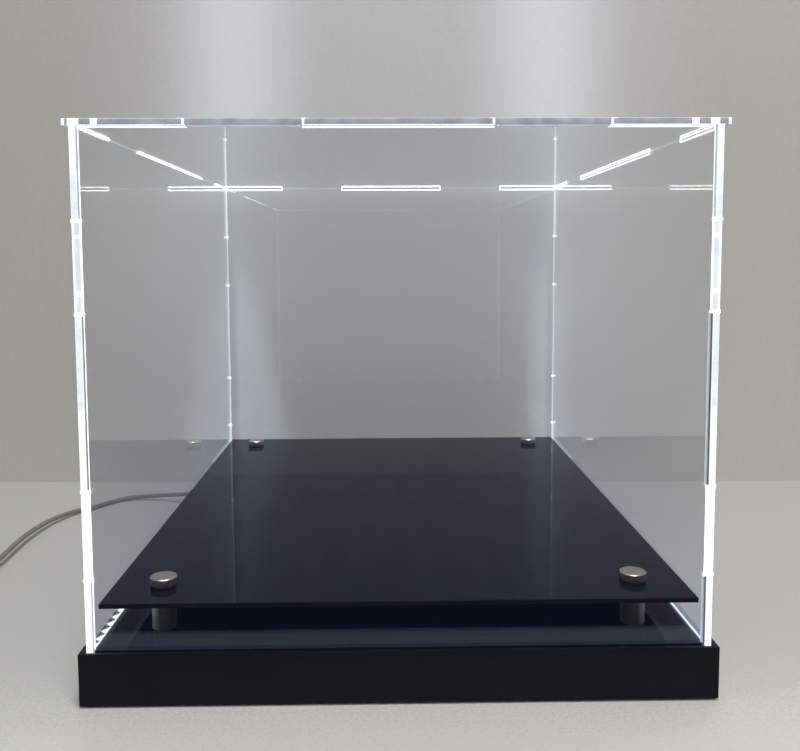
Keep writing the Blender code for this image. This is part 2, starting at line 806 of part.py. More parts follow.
def least_self_gap(points, diameter):
    """The least gap between two stretches of a tube that lie over a half turn apart along it."""
    apart = LOOP_POINTS // 2
    least = math.inf
    for index, point in enumerate(points):
        for first, second in zip(points[index + apart:], points[index + apart + 1:]):
            along = second - first
            share = min(1.0, max(0.0, (point - first).dot(along) / along.length_squared))
            least = min(least, (point - first - along * share).length)
    return least - diameter


def lead():
    """The gland in the wall, the lead inside and outside, its coil and its plug."""
    wall_face = -OUTER_X - GLUE
    neck_end = -PLATE_X - GLUE
    gland = turned(
        "lead_gland",
        (
            (GLAND_NECK_DIAMETER / 2, neck_end - wall_face),
            (GLAND_NECK_DIAMETER / 2, 0.0),
            (GLAND_FLANGE_DIAMETER / 2, 0.0),
            (GLAND_FLANGE_DIAMETER / 2, -GLAND_FLANGE),
            (GLAND_NECK_DIAMETER / 2, -GLAND_FLANGE),
            (BOOT_END_DIAMETER / 2, -GLAND_FLANGE - BOOT_LENGTH),
        ),
        GREY_PVC,
    )
    gland.rotation_euler = (0.0, math.radians(90), 0.0)
    gland.location = (wall_face, LEAD_Y, LEAD_HEIGHT)

    board_x = -PLATE_X + RAIL_WIDTH + BOARD_FROM_RAIL
    length, width, thickness = BOARD_SIZE
    block(
        "junction_board",
        (board_x - length / 2, LEAD_Y - width / 2, BOTTOM_TOP + GLUE),
        (board_x + length / 2, LEAD_Y + width / 2, BOTTOM_TOP + GLUE + thickness),
        CIRCUIT_BOARD,
    )
    tube("feed_wire", smooth_route(feed_path(), FEED_DIAMETER * 2), FEED_DIAMETER, 2, WIRE_JACKET)
    inner_start = Vector((neck_end + SEAT, LEAD_Y, LEAD_HEIGHT))
    inner_end = Vector((board_x - length / 2 - SEAT, LEAD_Y, LEAD_HEIGHT))
    shares = [step / INNER_LEAD_STEPS for step in range(INNER_LEAD_STEPS + 1)]
    inner = [inner_start.lerp(inner_end, share) for share in shares]
    tube("inner_lead", inner, CORD_DIAMETER, 2, GREY_PVC)

    free = free_stretch()
    tube("lead_free", free, CORD_DIAMETER, 2, GREY_PVC)
    coil = coil_points()
    tube("lead_coil", coil, CORD_DIAMETER, 1, GREY_PVC)
    print("least self gap of the coil, mm:", round(1000 * least_self_gap(coil, CORD_DIAMETER), 2))
    length = 0.0
    for run in (free, coil):
        length += sum((second - first).length for first, second in zip(run, run[1:]))
    print("lead outside the box, m:", round(length, 3))
    plug(coil[-1])


def plug(end):
    """A USB plug: a moulded body with a tapered neck, and its metal shell."""
    width, depth, height = PLUG_BODY
    neck_start = end.y + SEAT
    body_start = neck_start + PLUG_NECK_LENGTH
    low = (end.x - width / 2, body_start, end.z - height / 2)
    high = (end.x + width / 2, body_start + depth, end.z + height / 2)
    body = block("plug_body", low, high, GREY_PVC)
    rounded(body, PLUG_ROUNDING, 3)
    profile = ((NECK_START_DIAMETER / 2, 0.0), (NECK_END_DIAMETER / 2, -PLUG_NECK_LENGTH - NECK_SUNK))
    neck = turned("plug_neck", profile, None)
    neck.rotation_euler = (math.radians(90), 0.0, 0.0)
    neck.location = (end.x, neck_start, end.z)
    combine(body, as_cutter(neck), "UNION")

    shell_width, shell_length, shell_height = PLUG_SHELL
    shell_start = body_start + depth + SEAT
    shell = block(
        "plug_shell",
        (end.x - shell_width / 2, shell_start, end.z - shell_height / 2),
        (end.x + shell_width / 2, shell_start + shell_length, end.z + shell_height / 2),
        PLATED_STEEL,
    )
    half_x = shell_width / 2 - SHELL_WALL
    half_z = shell_height / 2 - SHELL_WALL
    mouth_low = (end.x - half_x, shell_start + SHELL_FLOOR, end.z - half_z)
    mouth_high = (end.x + half_x, shell_start + 2 * shell_length, end.z + half_z)
    combine(shell, boxes_cutter("plug_mouth", [(mouth_low, mouth_high)]), "DIFFERENCE")


base_walls()
base_sheets()
rails_and_ledges()
foot_pads()
lighting()
shelf()
for corner, (side, end) in CORNERS.items():
    standoff(corner, side, end)
cover()
lead()
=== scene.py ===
"""The looks of a lighted display box: a clear acrylic cover over a glossy black base with LED strips."""
import functools
import math

import bmesh
import bpy
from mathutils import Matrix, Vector


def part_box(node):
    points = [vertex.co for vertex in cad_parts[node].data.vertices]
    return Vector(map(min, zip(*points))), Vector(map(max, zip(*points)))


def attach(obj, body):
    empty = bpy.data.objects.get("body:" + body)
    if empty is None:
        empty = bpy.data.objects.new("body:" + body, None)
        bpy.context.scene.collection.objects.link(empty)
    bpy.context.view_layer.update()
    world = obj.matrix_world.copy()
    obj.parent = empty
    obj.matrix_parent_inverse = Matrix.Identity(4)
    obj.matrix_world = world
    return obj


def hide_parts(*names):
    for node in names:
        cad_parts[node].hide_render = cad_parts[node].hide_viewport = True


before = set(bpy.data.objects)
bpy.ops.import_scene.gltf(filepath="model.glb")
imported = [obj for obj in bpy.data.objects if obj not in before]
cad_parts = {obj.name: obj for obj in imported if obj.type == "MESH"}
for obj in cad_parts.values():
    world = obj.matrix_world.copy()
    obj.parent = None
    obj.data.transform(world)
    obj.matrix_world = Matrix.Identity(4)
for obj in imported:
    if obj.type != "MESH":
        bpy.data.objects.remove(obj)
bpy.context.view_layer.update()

MM = 0.001

# The photograph's viewpoint, found from the corners of the base and of the cover
CAMERA_PLACE = (-0.00724716, -0.58197537, 0.21060012)
CAMERA_TURN = (85.27435658, 0.23297197, -1.01976257)
CAMERA_LENS = 39.13665
CAMERA_SHIFT = (0.00179965, -0.06164034)

# The lead's free stretch and the coil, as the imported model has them, in metres
LEAD_EXIT = (-0.1649, 0.145, 0.0095)
LEAD_ROUTE = (
    (-0.1735, 0.1452, 0.0090),
    (-0.1816, 0.1484, 0.0076),
    (-0.1959, 0.1548, 0.0055),
    (-0.2096, 0.1584, 0.0038),
    (-0.2274, 0.1595, 0.0023),
    (-0.2410, 0.1487, 0.0018),
    (-0.2525, 0.1280, 0.0023),
    (-0.2630, 0.1080, 0.0034),
    (-0.2692, 0.0812, 0.0048),
    (-0.2707, 0.0453, 0.0060),
    (-0.2686, 0.0050, 0.0062),
    (-0.2692, -0.0250, 0.0040),
)
LEAD_STEP = 0.0085
LEAD_DIAMETER = 0.0035
COIL_START = (-0.2705, -0.0560, 0.0018)
COIL_MID_DIAMETER = 0.038
COIL_LAYERS = 4
LAYER_TURNS = 2.014
RADIAL_PITCH = 0.0041
LAYER_PITCH = 0.00405
CLIMB_TURNS = 0.5
TAIL_LEAVE_TURNS = 0.25
TAIL_DROP = 0.75
TAIL_STRAIGHT = 0.020
TAIL_STEPS = 6
PLUG_AXIS_HEIGHT = 0.0042
LOOP_POINTS = 48
SEAT = 0.0003

# The plug's neck, the step at its root, and the boot on the base's left wall
PLUG_NECK = 7.0
PLUG_STEP = 0.5
BOOT_RIBS = 5
BOOT_PLACE = -0.1501

# The cover's lid, its inside, its tabs at the sides and ends, and its finger ends, in millimetres. Faces
# further out than LID_EDGE or WALL_FACE, across and along, are on the lid's edge or outside a wall
LID_UNDERSIDE = 268.0
INSIDE_HALF = (143.7, 184.7)
TABS_Y = ((-187.7, -136.7), (-85.7, 85.7), (136.7, 187.7))
CEMENTED_X = ((-146.7, -94.6), (-43.1, 43.1), (94.6, 146.7))
FINGER_ENDS = (60.4, 102.4, 184.0, 226.0)
LID_EDGE = (147.5, 188.5)
WALL_FACE = (145, 186)
LED_PITCH = 1000 / 120

# How brightly the cover's faces shine: 1 is white, and the sheets' clear faces have no light at all
SHINE = {
    "clear face": -1.0,
    "lid's edge": 0.44,
    "lid's top rim": 0.75,
    "lid rim at a joint": 1.3,
    "side slot's face": 3.0,
    "slot's end": 1.6,
    "slot's side": 0.6,
    "tab": 1.2,
    "shoulder": 0.62,
    "foot": 0.6,
    "front finger's end": 1.5,
    "back finger's end": 0.9,
    "side's front rim": 1.4,
    "side's front": 1.3,
    "side's pale front": 1.0,
    "side's front recess": 0.99,
    "side's back": 0.9,
    "side's back middle": 0.5,
    "side's back recess": 0.2,
    "front's finger": 1.5,
    "front's top recess": 0.68,
    "front's right recess": 0.14,
    "front's left recess": 0.3,
    "front's low left recess": 0.75,
    "back's finger": 0.6,
    "back's recess": 0.0,
}

# The cement beads: their gap to the sheets, their legs and the drops' thickness, in millimetres. Then
# each zone's lowest and highest point, and its light at the front left, at the front right and behind
BEAD_GAP = 0.05
BEAD_LEG = 0.75
WIDE_BEAD = 1.0
DROP_THICK = 0.3
DIM_BEAD = 0.3
BEAD_ZONES = (
    (26.6, 60.4, 1.3, 0.12, 0.5),
    (60.4, 102.4, 1.1, 1.1, 0.42),
    (102.4, 184.0, 1.2, 0.14, 0.36),
    (184.0, 226.0, 1.1, 1.1, 0.36),
    (226.0, 267.2, 1.2, 0.9, 0.5),
)

# Where cement bridges the gap behind the front wall's fingers, as bright ticks
TICKS = ((218.1, 219.7), (192.2, 194.4))

# Stretches of the side walls' front edges that look pale blue rather than white
PALE = ((226.0, 247.0), (140.0, 184.0))

# Marks of light in the lid's front and back edges where its slots end behind them: their reach
# across, and how brightly the edge's face shines there
LID_MARKS = (
    (-150.0, -147.5, 1.0),
    (-146.3, -141.2, 1.3),
    (-136.2, -133.1, 1.3),
    (-98.0, -96.0, 0.44),
    (-96.0, -94.9, 1.3),
    (-42.9, -41.8, 1.3),
    (-41.8, -40.2, 0.44),
    (40.2, 41.8, 0.44),
    (41.8, 42.9, 1.3),
    (94.9, 96.0, 1.3),
    (96.0, 98.0, 0.44),
    (131.0, 134.4, 1.3),
    (139.5, 143.6, 1.3),
    (147.5, 150.0, 1.0),
)

# The profiles of the turned pieces: radii and heights, in millimetres
FOOT_PROFILE = ((6.4, 0.12), (6.7, 0.0), (6.9, 0.08), (7.0, 0.25), (7.0, 0.6), (6.9, 0.7))
BARREL_PROFILE = ((3.0, 26.1), (5.8, 26.1), (6.0, 26.3), (6.0, 44.9), (5.8, 45.1), (3.0, 45.1), (3.0, 26.1))
WASHER_PROFILE = ((3.0, 47.6), (6.0, 47.6), (6.2, 47.8), (6.2, 48.4), (6.0, 48.6), (3.0, 48.6), (3.0, 47.6))
CAP_PROFILE = ((2.4, 37.1), (2.7, 37.4), (2.7, 48.7), (6.3, 48.7), (6.5, 48.9), (6.5, 51.5), (6.15, 51.9))

# Where the table ends before the box: its last mirror image in the front wall lies that far out
TABLE_EDGE = -267

# The wall's foot, lit from the channel below it: from the base's top up to FOOT_HIGH, in millimetres.
# The flares of the chips lean back by this much for each millimetre up, and start this far forward
FOOT_LOW = 26.2
FOOT_HIGH = 30.6
FLARE_LEAN = 1.6
FLARE_START = 183.5

# The columns of light on the wall stand behind the cover's sides, this far from the middle, in metres
GLOW_ASIDE = 0.138

CORNERS = {"front_left": (-1, -1), "front_right": (1, -1), "back_left": (-1, 1), "back_right": (1, 1)}


def camera():
    """The camera at the photograph's viewpoint."""
    turn = [math.radians(angle) for angle in CAMERA_TURN]
    bpy.ops.object.camera_add(location=CAMERA_PLACE, rotation=turn)
    eye = bpy.context.active_object
    eye.data.sensor_width = 36.0
    eye.data.lens = CAMERA_LENS
    eye.data.shift_x, eye.data.shift_y = CAMERA_SHIFT
    eye.data.clip_start = 0.01
    bpy.context.scene.camera = eye


# Materials


def linear(color):
    """An sRGB hex colour as linear red, green, blue and alpha."""
    values = []
    for start in (1, 3, 5):
        value = int(color[start : start + 2], 16) / 255
        values.append(value / 12.92 if value <= 0.04045 else ((value + 0.055) / 1.055) ** 2.4)
    return (*values, 1.0)


def add(tree, kind, inputs=(), stops=(), **settings):
    """Adds one shader node. Its inputs go by name or in order, and its settings by name.

    An input given as a node or a socket is linked, and any other is set. A ramp has stops: places
    and hex colours.
    """
    made = tree.nodes.new("ShaderNode" + kind)
    for name, value in settings.items():
        setattr(made, name, value)
    for name, value in inputs.items() if isinstance(inputs, dict) else enumerate(inputs):
        if isinstance(value, bpy.types.Node):
            value = value.outputs[0]
        if isinstance(value, bpy.types.NodeSocket):
            tree.links.new(value, made.inputs[name])
        else:
            made.inputs[name].default_value = value
    for index, (position, color) in enumerate(stops):
        elements = made.color_ramp.elements
        element = elements[index] if index < 2 else elements.new(position)
        element.position = position
        element.color = linear(color)
    return made


# Most values of a noise pattern lie between these two
MOST = (0.3, 0.7)

# Settings that many nodes share: a smooth step between two limits, and the reckoning of values
SMOOTH = {"interpolation_type": "SMOOTHSTEP"}
PLUS = {"operation": "ADD"}
MINUS = {"operation": "SUBTRACT"}
TIMES = {"operation": "MULTIPLY"}
TIMES_PLUS = {"operation": "MULTIPLY_ADD"}
OVER = {"operation": "DIVIDE"}


def started(name):
    """A new empty material, what adds nodes to it, and the object's own coordinates."""
    look = bpy.data.materials.new(name)
    look.use_nodes = True
    look.node_tree.nodes.clear()
    put = functools.partial(add, look.node_tree)
    return look, put, put("TexCoord").outputs["Object"]


def surfaced(look, put, inputs, open_to=None, tint="#ffffff"):
    """Gives a material its surface. The rays that it is open to, if any, go straight on, tinted."""
    shader = put("BsdfPrincipled", inputs)
    if open_to is not None:
        passed = put("BsdfTransparent", {"Color": linear(tint)})
        shader = put("MixShader", (open_to, shader, passed))
    put("OutputMaterial", (shader,))
    return look


def grain(put, place, millimetres, detail=2.0, stretch=(1.0, 1.0, 1.0)):
    """A noise pattern whose lumps are about so many millimetres across, drawn out along the axes."""
    mapped = put("Mapping", {"Vector": place, "Scale": stretch})
    scale = 1.0 / (millimetres * MM)
    return put("TexNoise", {"Vector": mapped, "Scale": scale, "Detail": detail})


def even_finish(
    name, size, tones, rough, at=MOST, depth=0.0, detail=2.0, stretch=(1.0, 1.0, 1.0), **sockets
):
    """A material whose two tones, roughness and relief, if any, follow one grain of a size in mm."""
    look, put, place = started(name)
    tone = grain(put, place, size, detail, stretch)
    inputs = {
        "Base Color": put("ValToRGB", (tone,), zip(at, tones)),
        "Roughness": put("MapRange", (tone, *MOST, *rough), **SMOOTH),
    }
    if depth:
        inputs["Normal"] = put("Bump", {"Height": tone, "Distance": depth * MM, "Strength": 1.0})
    for socket, value in sockets.items():
        inputs[socket.replace("_", " ")] = value
    return surfaced(look, put, inputs)


def lamp_rays(put):
    """The rays that look for a lamp: a clear surface lets them pass, or it would cast a shadow."""
    return put("LightPath").outputs["Is Shadow Ray"]


def clear_sheet(look, put, place, glow, tint):
    """Clear acrylic, polished by its casting: no colour, IOR 1.49, a slow waviness, and a painted glow that
    stands in for the strips' light in the sheet.
    """
    smears = grain(put, place, 70.0, 3.0)
    return surfaced(look, put, {
        "Base Color": linear("#feffff"),
        "Transmission Weight": 1.0,
        "IOR": 1.49,
        "Roughness": put("MapRange", (smears, 0.35, 0.8, 0.0, 0.012), **SMOOTH),
        "Emission Color": tint,
        "Emission Strength": glow,
    }, lamp_rays(put))


def cast_acrylic(name, haze, foot, tint):
    """Cast clear acrylic, a little dusty, with a faint blue painted glow, most of it low down, for the strips'
    light caught in the sheet.
    """
    look, put, place = started(name)
    height = put("SeparateXYZ", (place,)).outputs["Z"]
    painted_dust_glow = put("MapRange", (height, 0.05, 0.26, haze, 0.0), **SMOOTH)
    painted_low_glow = put("MapRange", (height, 0.03, 0.1, foot, 0.0), **SMOOTH)
    return clear_sheet(look, put, place, put("Math", (painted_dust_glow, painted_low_glow), **PLUS), linear(tint))


def lit_foot(name, reach, teeth, glare, haze, fringe, tint):
    """Clear acrylic at a wall's foot, where the chips below it flare up inside the sheet, painted as glowing
    flares.

    Reach and teeth are shares of the foot's height: how high a flare rises, and how much of that it
    has lost where the next one starts. Haze, a faint painted glow, fills the rest, most at the foot's bottom
    and top.
    """
    look, put, place = started("clear_acrylic_" + name)
    parts = put("SeparateXYZ", (place,)).outputs
    above = put("Math", (parts["Z"], FOOT_LOW * MM), **MINUS)
    rise = put("Math", (above, (FOOT_HIGH - FOOT_LOW) * MM), **OVER)
    leaning = put("Math", (above, FLARE_LEAN, parts["Y"]), **TIMES_PLUS)
    along = put("Math", (leaning, FLARE_START * MM), **PLUS)
    chips = put("Math", (put("Math", (along, LED_PITCH * MM), **OVER),), operation="FRACT")
    edge = put("Math", (chips, -teeth, reach), **TIMES_PLUS)
    uneven = put("Math", (grain(put, place, 1.1), 0.5), **MINUS)
    ragged = put("Math", (uneven, 0.3 * reach, edge), **TIMES_PLUS)
    left_over = put("Math", (ragged, rise), **MINUS)
    flare = put("MapRange", (left_over, 0.0, 0.12, 0.0, glare), **SMOOTH)
    top_line = put("MapRange", (rise, 0.8, 0.95, 0.0, 1.2), **SMOOTH)
    fading = put("Math", (1.0, rise), **MINUS)
    painted_glow_strength = put("Math", (put("Math", (fading, top_line), **PLUS), haze, flare), **TIMES_PLUS)
    glow = put("ValToRGB", (left_over,), ((0.0, tint), (0.04, fringe), (0.16, tint)))
    return clear_sheet(look, put, place, painted_glow_strength, glow)


def lit_cut_edge():
    """Laser-cut edges of the clear sheet: frosted by the cut, with a painted glow that stands in for the light
    inside the sheet.

    A dim edge has a darker painted colour, and its glow shows only from outside, so through its own sheet it
    looks dark, as a mirror would.
    The lid's edge is brighter towards its top.
    """
    look, put, place = started("lit_laser_cut_edge")
    level = put("Attribute", attribute_name="edge_light").outputs["Fac"]
    height = put("SeparateXYZ", (place,)).outputs["Z"]
    outside = put("Math", (1.0, put("NewGeometry").outputs["Backfacing"]), **MINUS)
    strokes = grain(put, place, 0.9)
    clouds = grain(put, place, 9.0)
    drawn_out = grain(put, place, 9.0, 1.0, (1.0, 1.0, 0.2))
    patches = put("MapRange", (clouds, *MOST, -0.2, 0.2), **SMOOTH)
    calm = put("MapRange", (level, 0.5, 0.9, 1.0, 0.3), **SMOOTH)
    patchy = put("Math", (put("Math", (patches, calm), **TIMES), level, level), **TIMES_PLUS)
    streaks = put("MapRange", (strokes, *MOST, 0.95, 1.05), **SMOOTH)
    streaky = put("Math", (patchy, streaks), **TIMES)
    blobs = put("MapRange", (drawn_out, 0.64, 0.7, 0.0, 0.5), **SMOOTH)
    dim = put("MapRange", (level, 0.5, 0.55, 1.0, 0.0), **SMOOTH)
    blobby = put("Math", (put("Math", (blobs, dim), **TIMES), level, streaky), **TIMES_PLUS)
    lid_fade = put("MapRange", (height, 0.2684, 0.2708, 0.92, 1.12), **SMOOTH)
    faded = put("Math", (blobby, lid_fade), **TIMES)
    outer_glow = put("MapRange", (level, 0.3, 0.35, 0.5, 0.0), **SMOOTH)
    tints = ((0.0, "#c9cfe4"), (0.44, "#d2d6e2"), (0.9, "#dfeeff"), (1.0, "#f1f8ff"))
    return surfaced(look, put, {
        "Base Color": put("ValToRGB", (level,), ((0.0, "#20242a"), (0.3, "#4a5460"))),
        "Roughness": put("MapRange", (strokes, *MOST, 0.5, 0.7), **SMOOTH),
        "IOR": 1.2,
        "Emission Color": put("ValToRGB", (level,), tints),
        "Emission Strength": put("Math", (outside, outer_glow, faded), **TIMES_PLUS),
    }, lamp_rays(put), "#e8eef8")


def cement_bead():
    """Solvent cement run into the joints: a clear bead that scatters the light of the sheets."""
    look, put, place = started("lit_acrylic_cement")
    level = put("Attribute", attribute_name="edge_light").outputs["Fac"]
    lumps = put("MapRange", (grain(put, place, 4.0), *MOST, 0.9, 1.1), **SMOOTH)
    return surfaced(look, put, {
        "Base Color": linear("#ccd4dc"),
        "Roughness": put("MapRange", (lumps, 0.9, 1.1, 0.3, 0.4), **SMOOTH),
        "IOR": 1.49,
        "Transmission Weight": 0.2,
        "Emission Color": linear("#f3f7fa"),
        "Emission Strength": put("Math", (lumps, level), **TIMES),
    }, lamp_rays(put), "#e8eef8")


def black_acrylic(name, tones, rough, ior, tint, light=0.0, bloom=0.0):
    """Black acrylic sheet with a little lint and the finest hairline scratches: glossy or satin.

    The haze of the strips' light in its surface is a touch of blue emission and of blue sheen. The
    hairlines are drawn 0.6 mm apart, several times coarser than real ones, to show at all.
    """
    look, put, place = started(name)
    lint = put("TexVoronoi", {"Vector": place, "Scale": 1.0 / (2.6 * MM), "Randomness": 1.0})
    specks = put("MapRange", (lint, 0.03, 0.07, 1.0, 0.0), **SMOOTH)
    patches = put("MapRange", (grain(put, place, 24.0), 0.5, 0.72), **SMOOTH)
    thinned = put("Math", (specks, patches), **TIMES)
    deep = put("ValToRGB", (grain(put, place, 40.0),), zip(MOST, tones))
    faint = put("Math", (thinned, 0.25), **TIMES)
    dusty = put("Mix", {"Factor": faint, "A": deep, "B": linear("#5a5a5c")}, data_type="RGBA")
    hairs = grain(put, place, 0.6, 3.0, (1.0, 0.04, 1.0))
    scratched = put("MapRange", (hairs, 0.45, 0.8, *rough), **SMOOTH)
    return surfaced(look, put, {
        "Base Color": dusty.outputs["Result"],
        "Roughness": put("Math", (thinned, 0.3, scratched), **TIMES_PLUS),
        "IOR": ior,
        "Specular Tint": linear(tint),
        "Sheen Weight": bloom,
        "Sheen Roughness": 0.4,
        "Sheen Tint": linear("#5fa0ff"),
        "Emission Color": linear("#abc3ff"),
        "Emission Strength": light,
    })


def lathe_steel(name, tones, rough, depth, faced=False, drawn=0.0):
    """Stainless steel with a lathe's fine lines: in rings on a face, or stacked up a round side.

    The real lines are some hundredths of a millimetre apart, and are drawn 0.2 mm apart to show.
    Lines that are drawn out stretch the highlights on a brushed side.
    """
    look, put, place = started(name)
    if faced:
        from_axis = put("Attribute", attribute_name="from_axis").outputs["Vector"]
        along = put("VectorMath", (from_axis,), operation="LENGTH").outputs["Value"]
        spacing = 0.22
    else:
        along = put("SeparateXYZ", (place,)).outputs["Z"]
        spacing = 0.2
    inputs = {"W": along, "Scale": 1.0 / (spacing * MM), "Detail": 3.0}
    lines = put("TexNoise", inputs, noise_dimensions="1D")
    return surfaced(look, put, {
        "Base Color": put("ValToRGB", (lines,), zip(MOST, tones)),
        "Metallic": 1.0,
        "Roughness": put("MapRange", (lines, *MOST, *rough), **SMOOTH),
        "Normal": put("Bump", {"Height": lines, "Distance": depth * MM, "Strength": 1.0}),
        "Anisotropic": drawn,
        "Anisotropic Rotation": 0.25 if drawn else 0.0,
    })


def lit_phosphor():
    """The phosphor in the chips' wells, glowing cool white and a touch warmer in its grains."""
    look, put, place = started("lit_phosphor")
    dots = grain(put, place, 0.25)
    return surfaced(look, put, {
        "Base Color": linear("#f0e27a"),
        "Roughness": 0.5,
        "Emission Color": put("ValToRGB", (dots,), ((0.3, "#fff6c8"), (0.6, "#f4f8ff"))),
        "Emission Strength": 2.5,
    })


def grey_pvc():
    """Soft light-grey PVC of the lead, matt with a faint extruded grain."""
    look, put, place = started("light_grey_pvc")
    tone = grain(put, place, 9.0, 3.0)
    skin = grain(put, place, 0.35)
    return surfaced(look, put, {
        "Base Color": put("ValToRGB", (tone,), zip(MOST, ("#75736d", "#827f79"))),
        "Roughness": put("MapRange", (skin, *MOST, 0.36, 0.5), **SMOOTH),
        "Normal": put("Bump", {"Height": skin, "Distance": 0.02 * MM, "Strength": 1.0}),
        "IOR": 1.53,
    })


def table_laminate():
    """Pale matt laminate of the table, painted lighter towards the front where more light falls on it, and
    greyer along its front edge, outside the view.
    """
    look, put, place = started("pale_table_laminate")
    fine = grain(put, place, 1.6)
    out = put("SeparateXYZ", (place,)).outputs["Y"]
    painted_light_ahead = put("MapRange", (out, -0.27, -0.1, 0.62, 0.0), **SMOOTH)
    grey_edge = put("MapRange", (out, -0.248, -0.243, -2.0, 0.0), **SMOOTH)
    ahead = put("Math", (painted_light_ahead, grey_edge), **PLUS)
    tones = ((0.0, "#929ba5"), (0.3, "#b2b3b1"), (0.7, "#babbb9"), (1.0, "#c8c9c7"))
    return surfaced(look, put, {
        "Base Color": put("ValToRGB", (put("Math", (fine, ahead), **PLUS),), tones),
        "Roughness": put("MapRange", (fine, *MOST, 0.45, 0.6), **SMOOTH),
    })


def wall_glow(put, place):
    """The light that the box throws on the wall: two columns, their spread and two bright corners."""
    parts = put("SeparateXYZ", (place,)).outputs
    height = parts["Z"]
    aside = put("Math", (parts["X"],), operation="ABSOLUTE")
    off_column = put("Math", (put("Math", (aside, GLOW_ASIDE), **MINUS),), operation="ABSOLUTE")
    column = put("MapRange", (off_column, 0.0, 0.085, 1.0, 0.0), **SMOOTH)
    above_lid = put("MapRange", (height, 0.24, 0.31, 0.03, 0.19), **SMOOTH)
    far_above = put("MapRange", (height, 0.34, 0.9, 0.0, -0.15), **SMOOTH)
    fade = put("Math", (above_lid, far_above), **PLUS)
    behind_low = put("MapRange", (height, 0.03, 0.22, 0.042, 0.137), **SMOOTH)
    behind_top = put("MapRange", (height, 0.25, 0.31, 0.0, -0.032), **SMOOTH)
    behind = put("Math", (behind_low, behind_top), **PLUS)
    near = put("MapRange", (aside, 0.14, 0.3, 1.0, 0.0), **SMOOTH)
    spread = put("Math", (near, behind), **TIMES)
    slanted = put("Math", (height, 0.21, parts["X"]), **TIMES_PLUS)
    left = put("MapRange", (slanted, -0.1, -0.075, 1.0, 0.0), **SMOOTH)
    right = put("MapRange", (parts["X"], 0.1165, 0.1365), **SMOOTH)
    middle = put("MapRange", (aside, 0.139, 0.145, 1.0, 0.0), **SMOOTH)
    inside = put("Math", (put("Math", (left, right), **PLUS), middle), **TIMES)
    low = put("MapRange", (height, 0.14, 0.25, 0.13, 0.0), **SMOOTH)
    corners = put("Math", (inside, low, spread), **TIMES_PLUS)
    return put("Math", (column, fade, corners), **TIMES_PLUS)


def wall_paint():
    """Grey matt wall paint that glows where the box lights it; from behind the wall isn't seen."""
    look, put, place = started("grey_wall_paint")
    fine = grain(put, place, 3.0, 3.0)
    return surfaced(look, put, {
        "Base Color": put("ValToRGB", (fine,), zip(MOST, ("#bcbbb8", "#c2c1be"))),
        "Roughness": put("MapRange", (fine, *MOST, 0.6, 0.8), **SMOOTH),
        "Emission Color": linear("#d9e8ff"),
        "Emission Strength": wall_glow(put, place),
    }, put("NewGeometry").outputs["Backfacing"])


# Shaping


def only(piece):
    """Makes a piece the one that is selected and active."""
    bpy.ops.object.select_all(action="DESELECT")
    piece.select_set(True)
    bpy.context.view_layer.objects.active = piece


def named(name):
    """Names the new primitive and puts its place into its mesh."""
    piece = bpy.context.active_object
    only(piece)
    piece.name = name
    piece.data.name = name
    bpy.ops.object.transform_apply(location=True, rotation=True, scale=True)
    return piece


def block(name, low, high):
    """A box between two corners given in millimetres."""
    low = Vector(low) * MM
    high = Vector(high) * MM
    bpy.ops.object.select_all(action="DESELECT")
    bpy.ops.mesh.primitive_cube_add(size=1.0, location=(low + high) / 2, scale=high - low)
    return named(name)


def modified(piece, kind, **settings):
    """Applies one modifier to a piece."""
    only(piece)
    step = piece.modifiers.new("step", kind)
    for name, value in settings.items():
        setattr(step, name, value)
    bpy.ops.object.modifier_apply(modifier=step.name)


def eased(piece, width, segments):
    """Rounds the sharp edges of a piece, by a width in millimetres, and shades it by angle."""
    sharp = {"limit_method": "ANGLE", "angle_limit": math.radians(30), "use_clamp_overlap": True}
    modified(piece, "BEVEL", width=width * MM, segments=segments, **sharp)
    bpy.ops.object.shade_smooth_by_angle(angle=math.radians(35))
    modified(piece, "WEIGHTED_NORMAL", mode="FACE_AREA", weight=100, keep_sharp=True)


def copied(node, name, body):
    """A copy of a CAD node with its loose triangles joined into clean faces; it stands for the node."""
    only(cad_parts[node])
    bpy.ops.object.duplicate()
    piece = bpy.context.active_object
    piece.name = name
    piece.data.name = name
    piece.parent = None
    for key in list(piece.keys()):
        del piece[key]
    piece.data.materials.clear()
    bpy.ops.mesh.customdata_custom_splitnormals_clear()
    bpy.ops.object.mode_set(mode="EDIT")
    bpy.ops.mesh.select_all(action="SELECT")
    bpy.ops.mesh.remove_doubles(threshold=0.000001)
    bpy.ops.mesh.dissolve_limited(angle_limit=math.radians(0.5))
    bpy.ops.object.mode_set(mode="OBJECT")
    bpy.ops.object.shade_flat()
    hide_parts(node)
    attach(piece, body)
    return piece


def turned(name, x, y, profile, ring=False, sides=96):
    """A piece turned about an upright axis, its profile given as radii and heights in millimetres."""
    bpy.ops.object.select_all(action="DESELECT")
    radius, height = profile[0]
    bpy.ops.mesh.primitive_circle_add(
        vertices=sides,
        radius=radius * MM,
        fill_type="NOTHING" if ring else "NGON",
        location=(x * MM, y * MM, height * MM),
    )
    piece = named(name)
    bpy.ops.object.mode_set(mode="EDIT")
    bpy.ops.mesh.select_all(action="SELECT")
    for (before, low), (after, high) in zip(profile, profile[1:]):
        rise = (0.0, 0.0, (high - low) * MM)
        bpy.ops.mesh.extrude_region_move(TRANSFORM_OT_translate={"value": rise})
        if after != before:
            scale = after / before
            middle = (x * MM, y * MM, high * MM)
            bpy.ops.transform.resize(value=(scale, scale, 1.0), center_override=middle)
    bpy.ops.mesh.select_all(action="SELECT")
    bpy.ops.mesh.remove_doubles(threshold=0.000001)
    bpy.ops.mesh.normals_make_consistent(inside=False)
    bpy.ops.object.mode_set(mode="OBJECT")
    bpy.ops.object.shade_smooth_by_angle(angle=math.radians(35))
    return piece


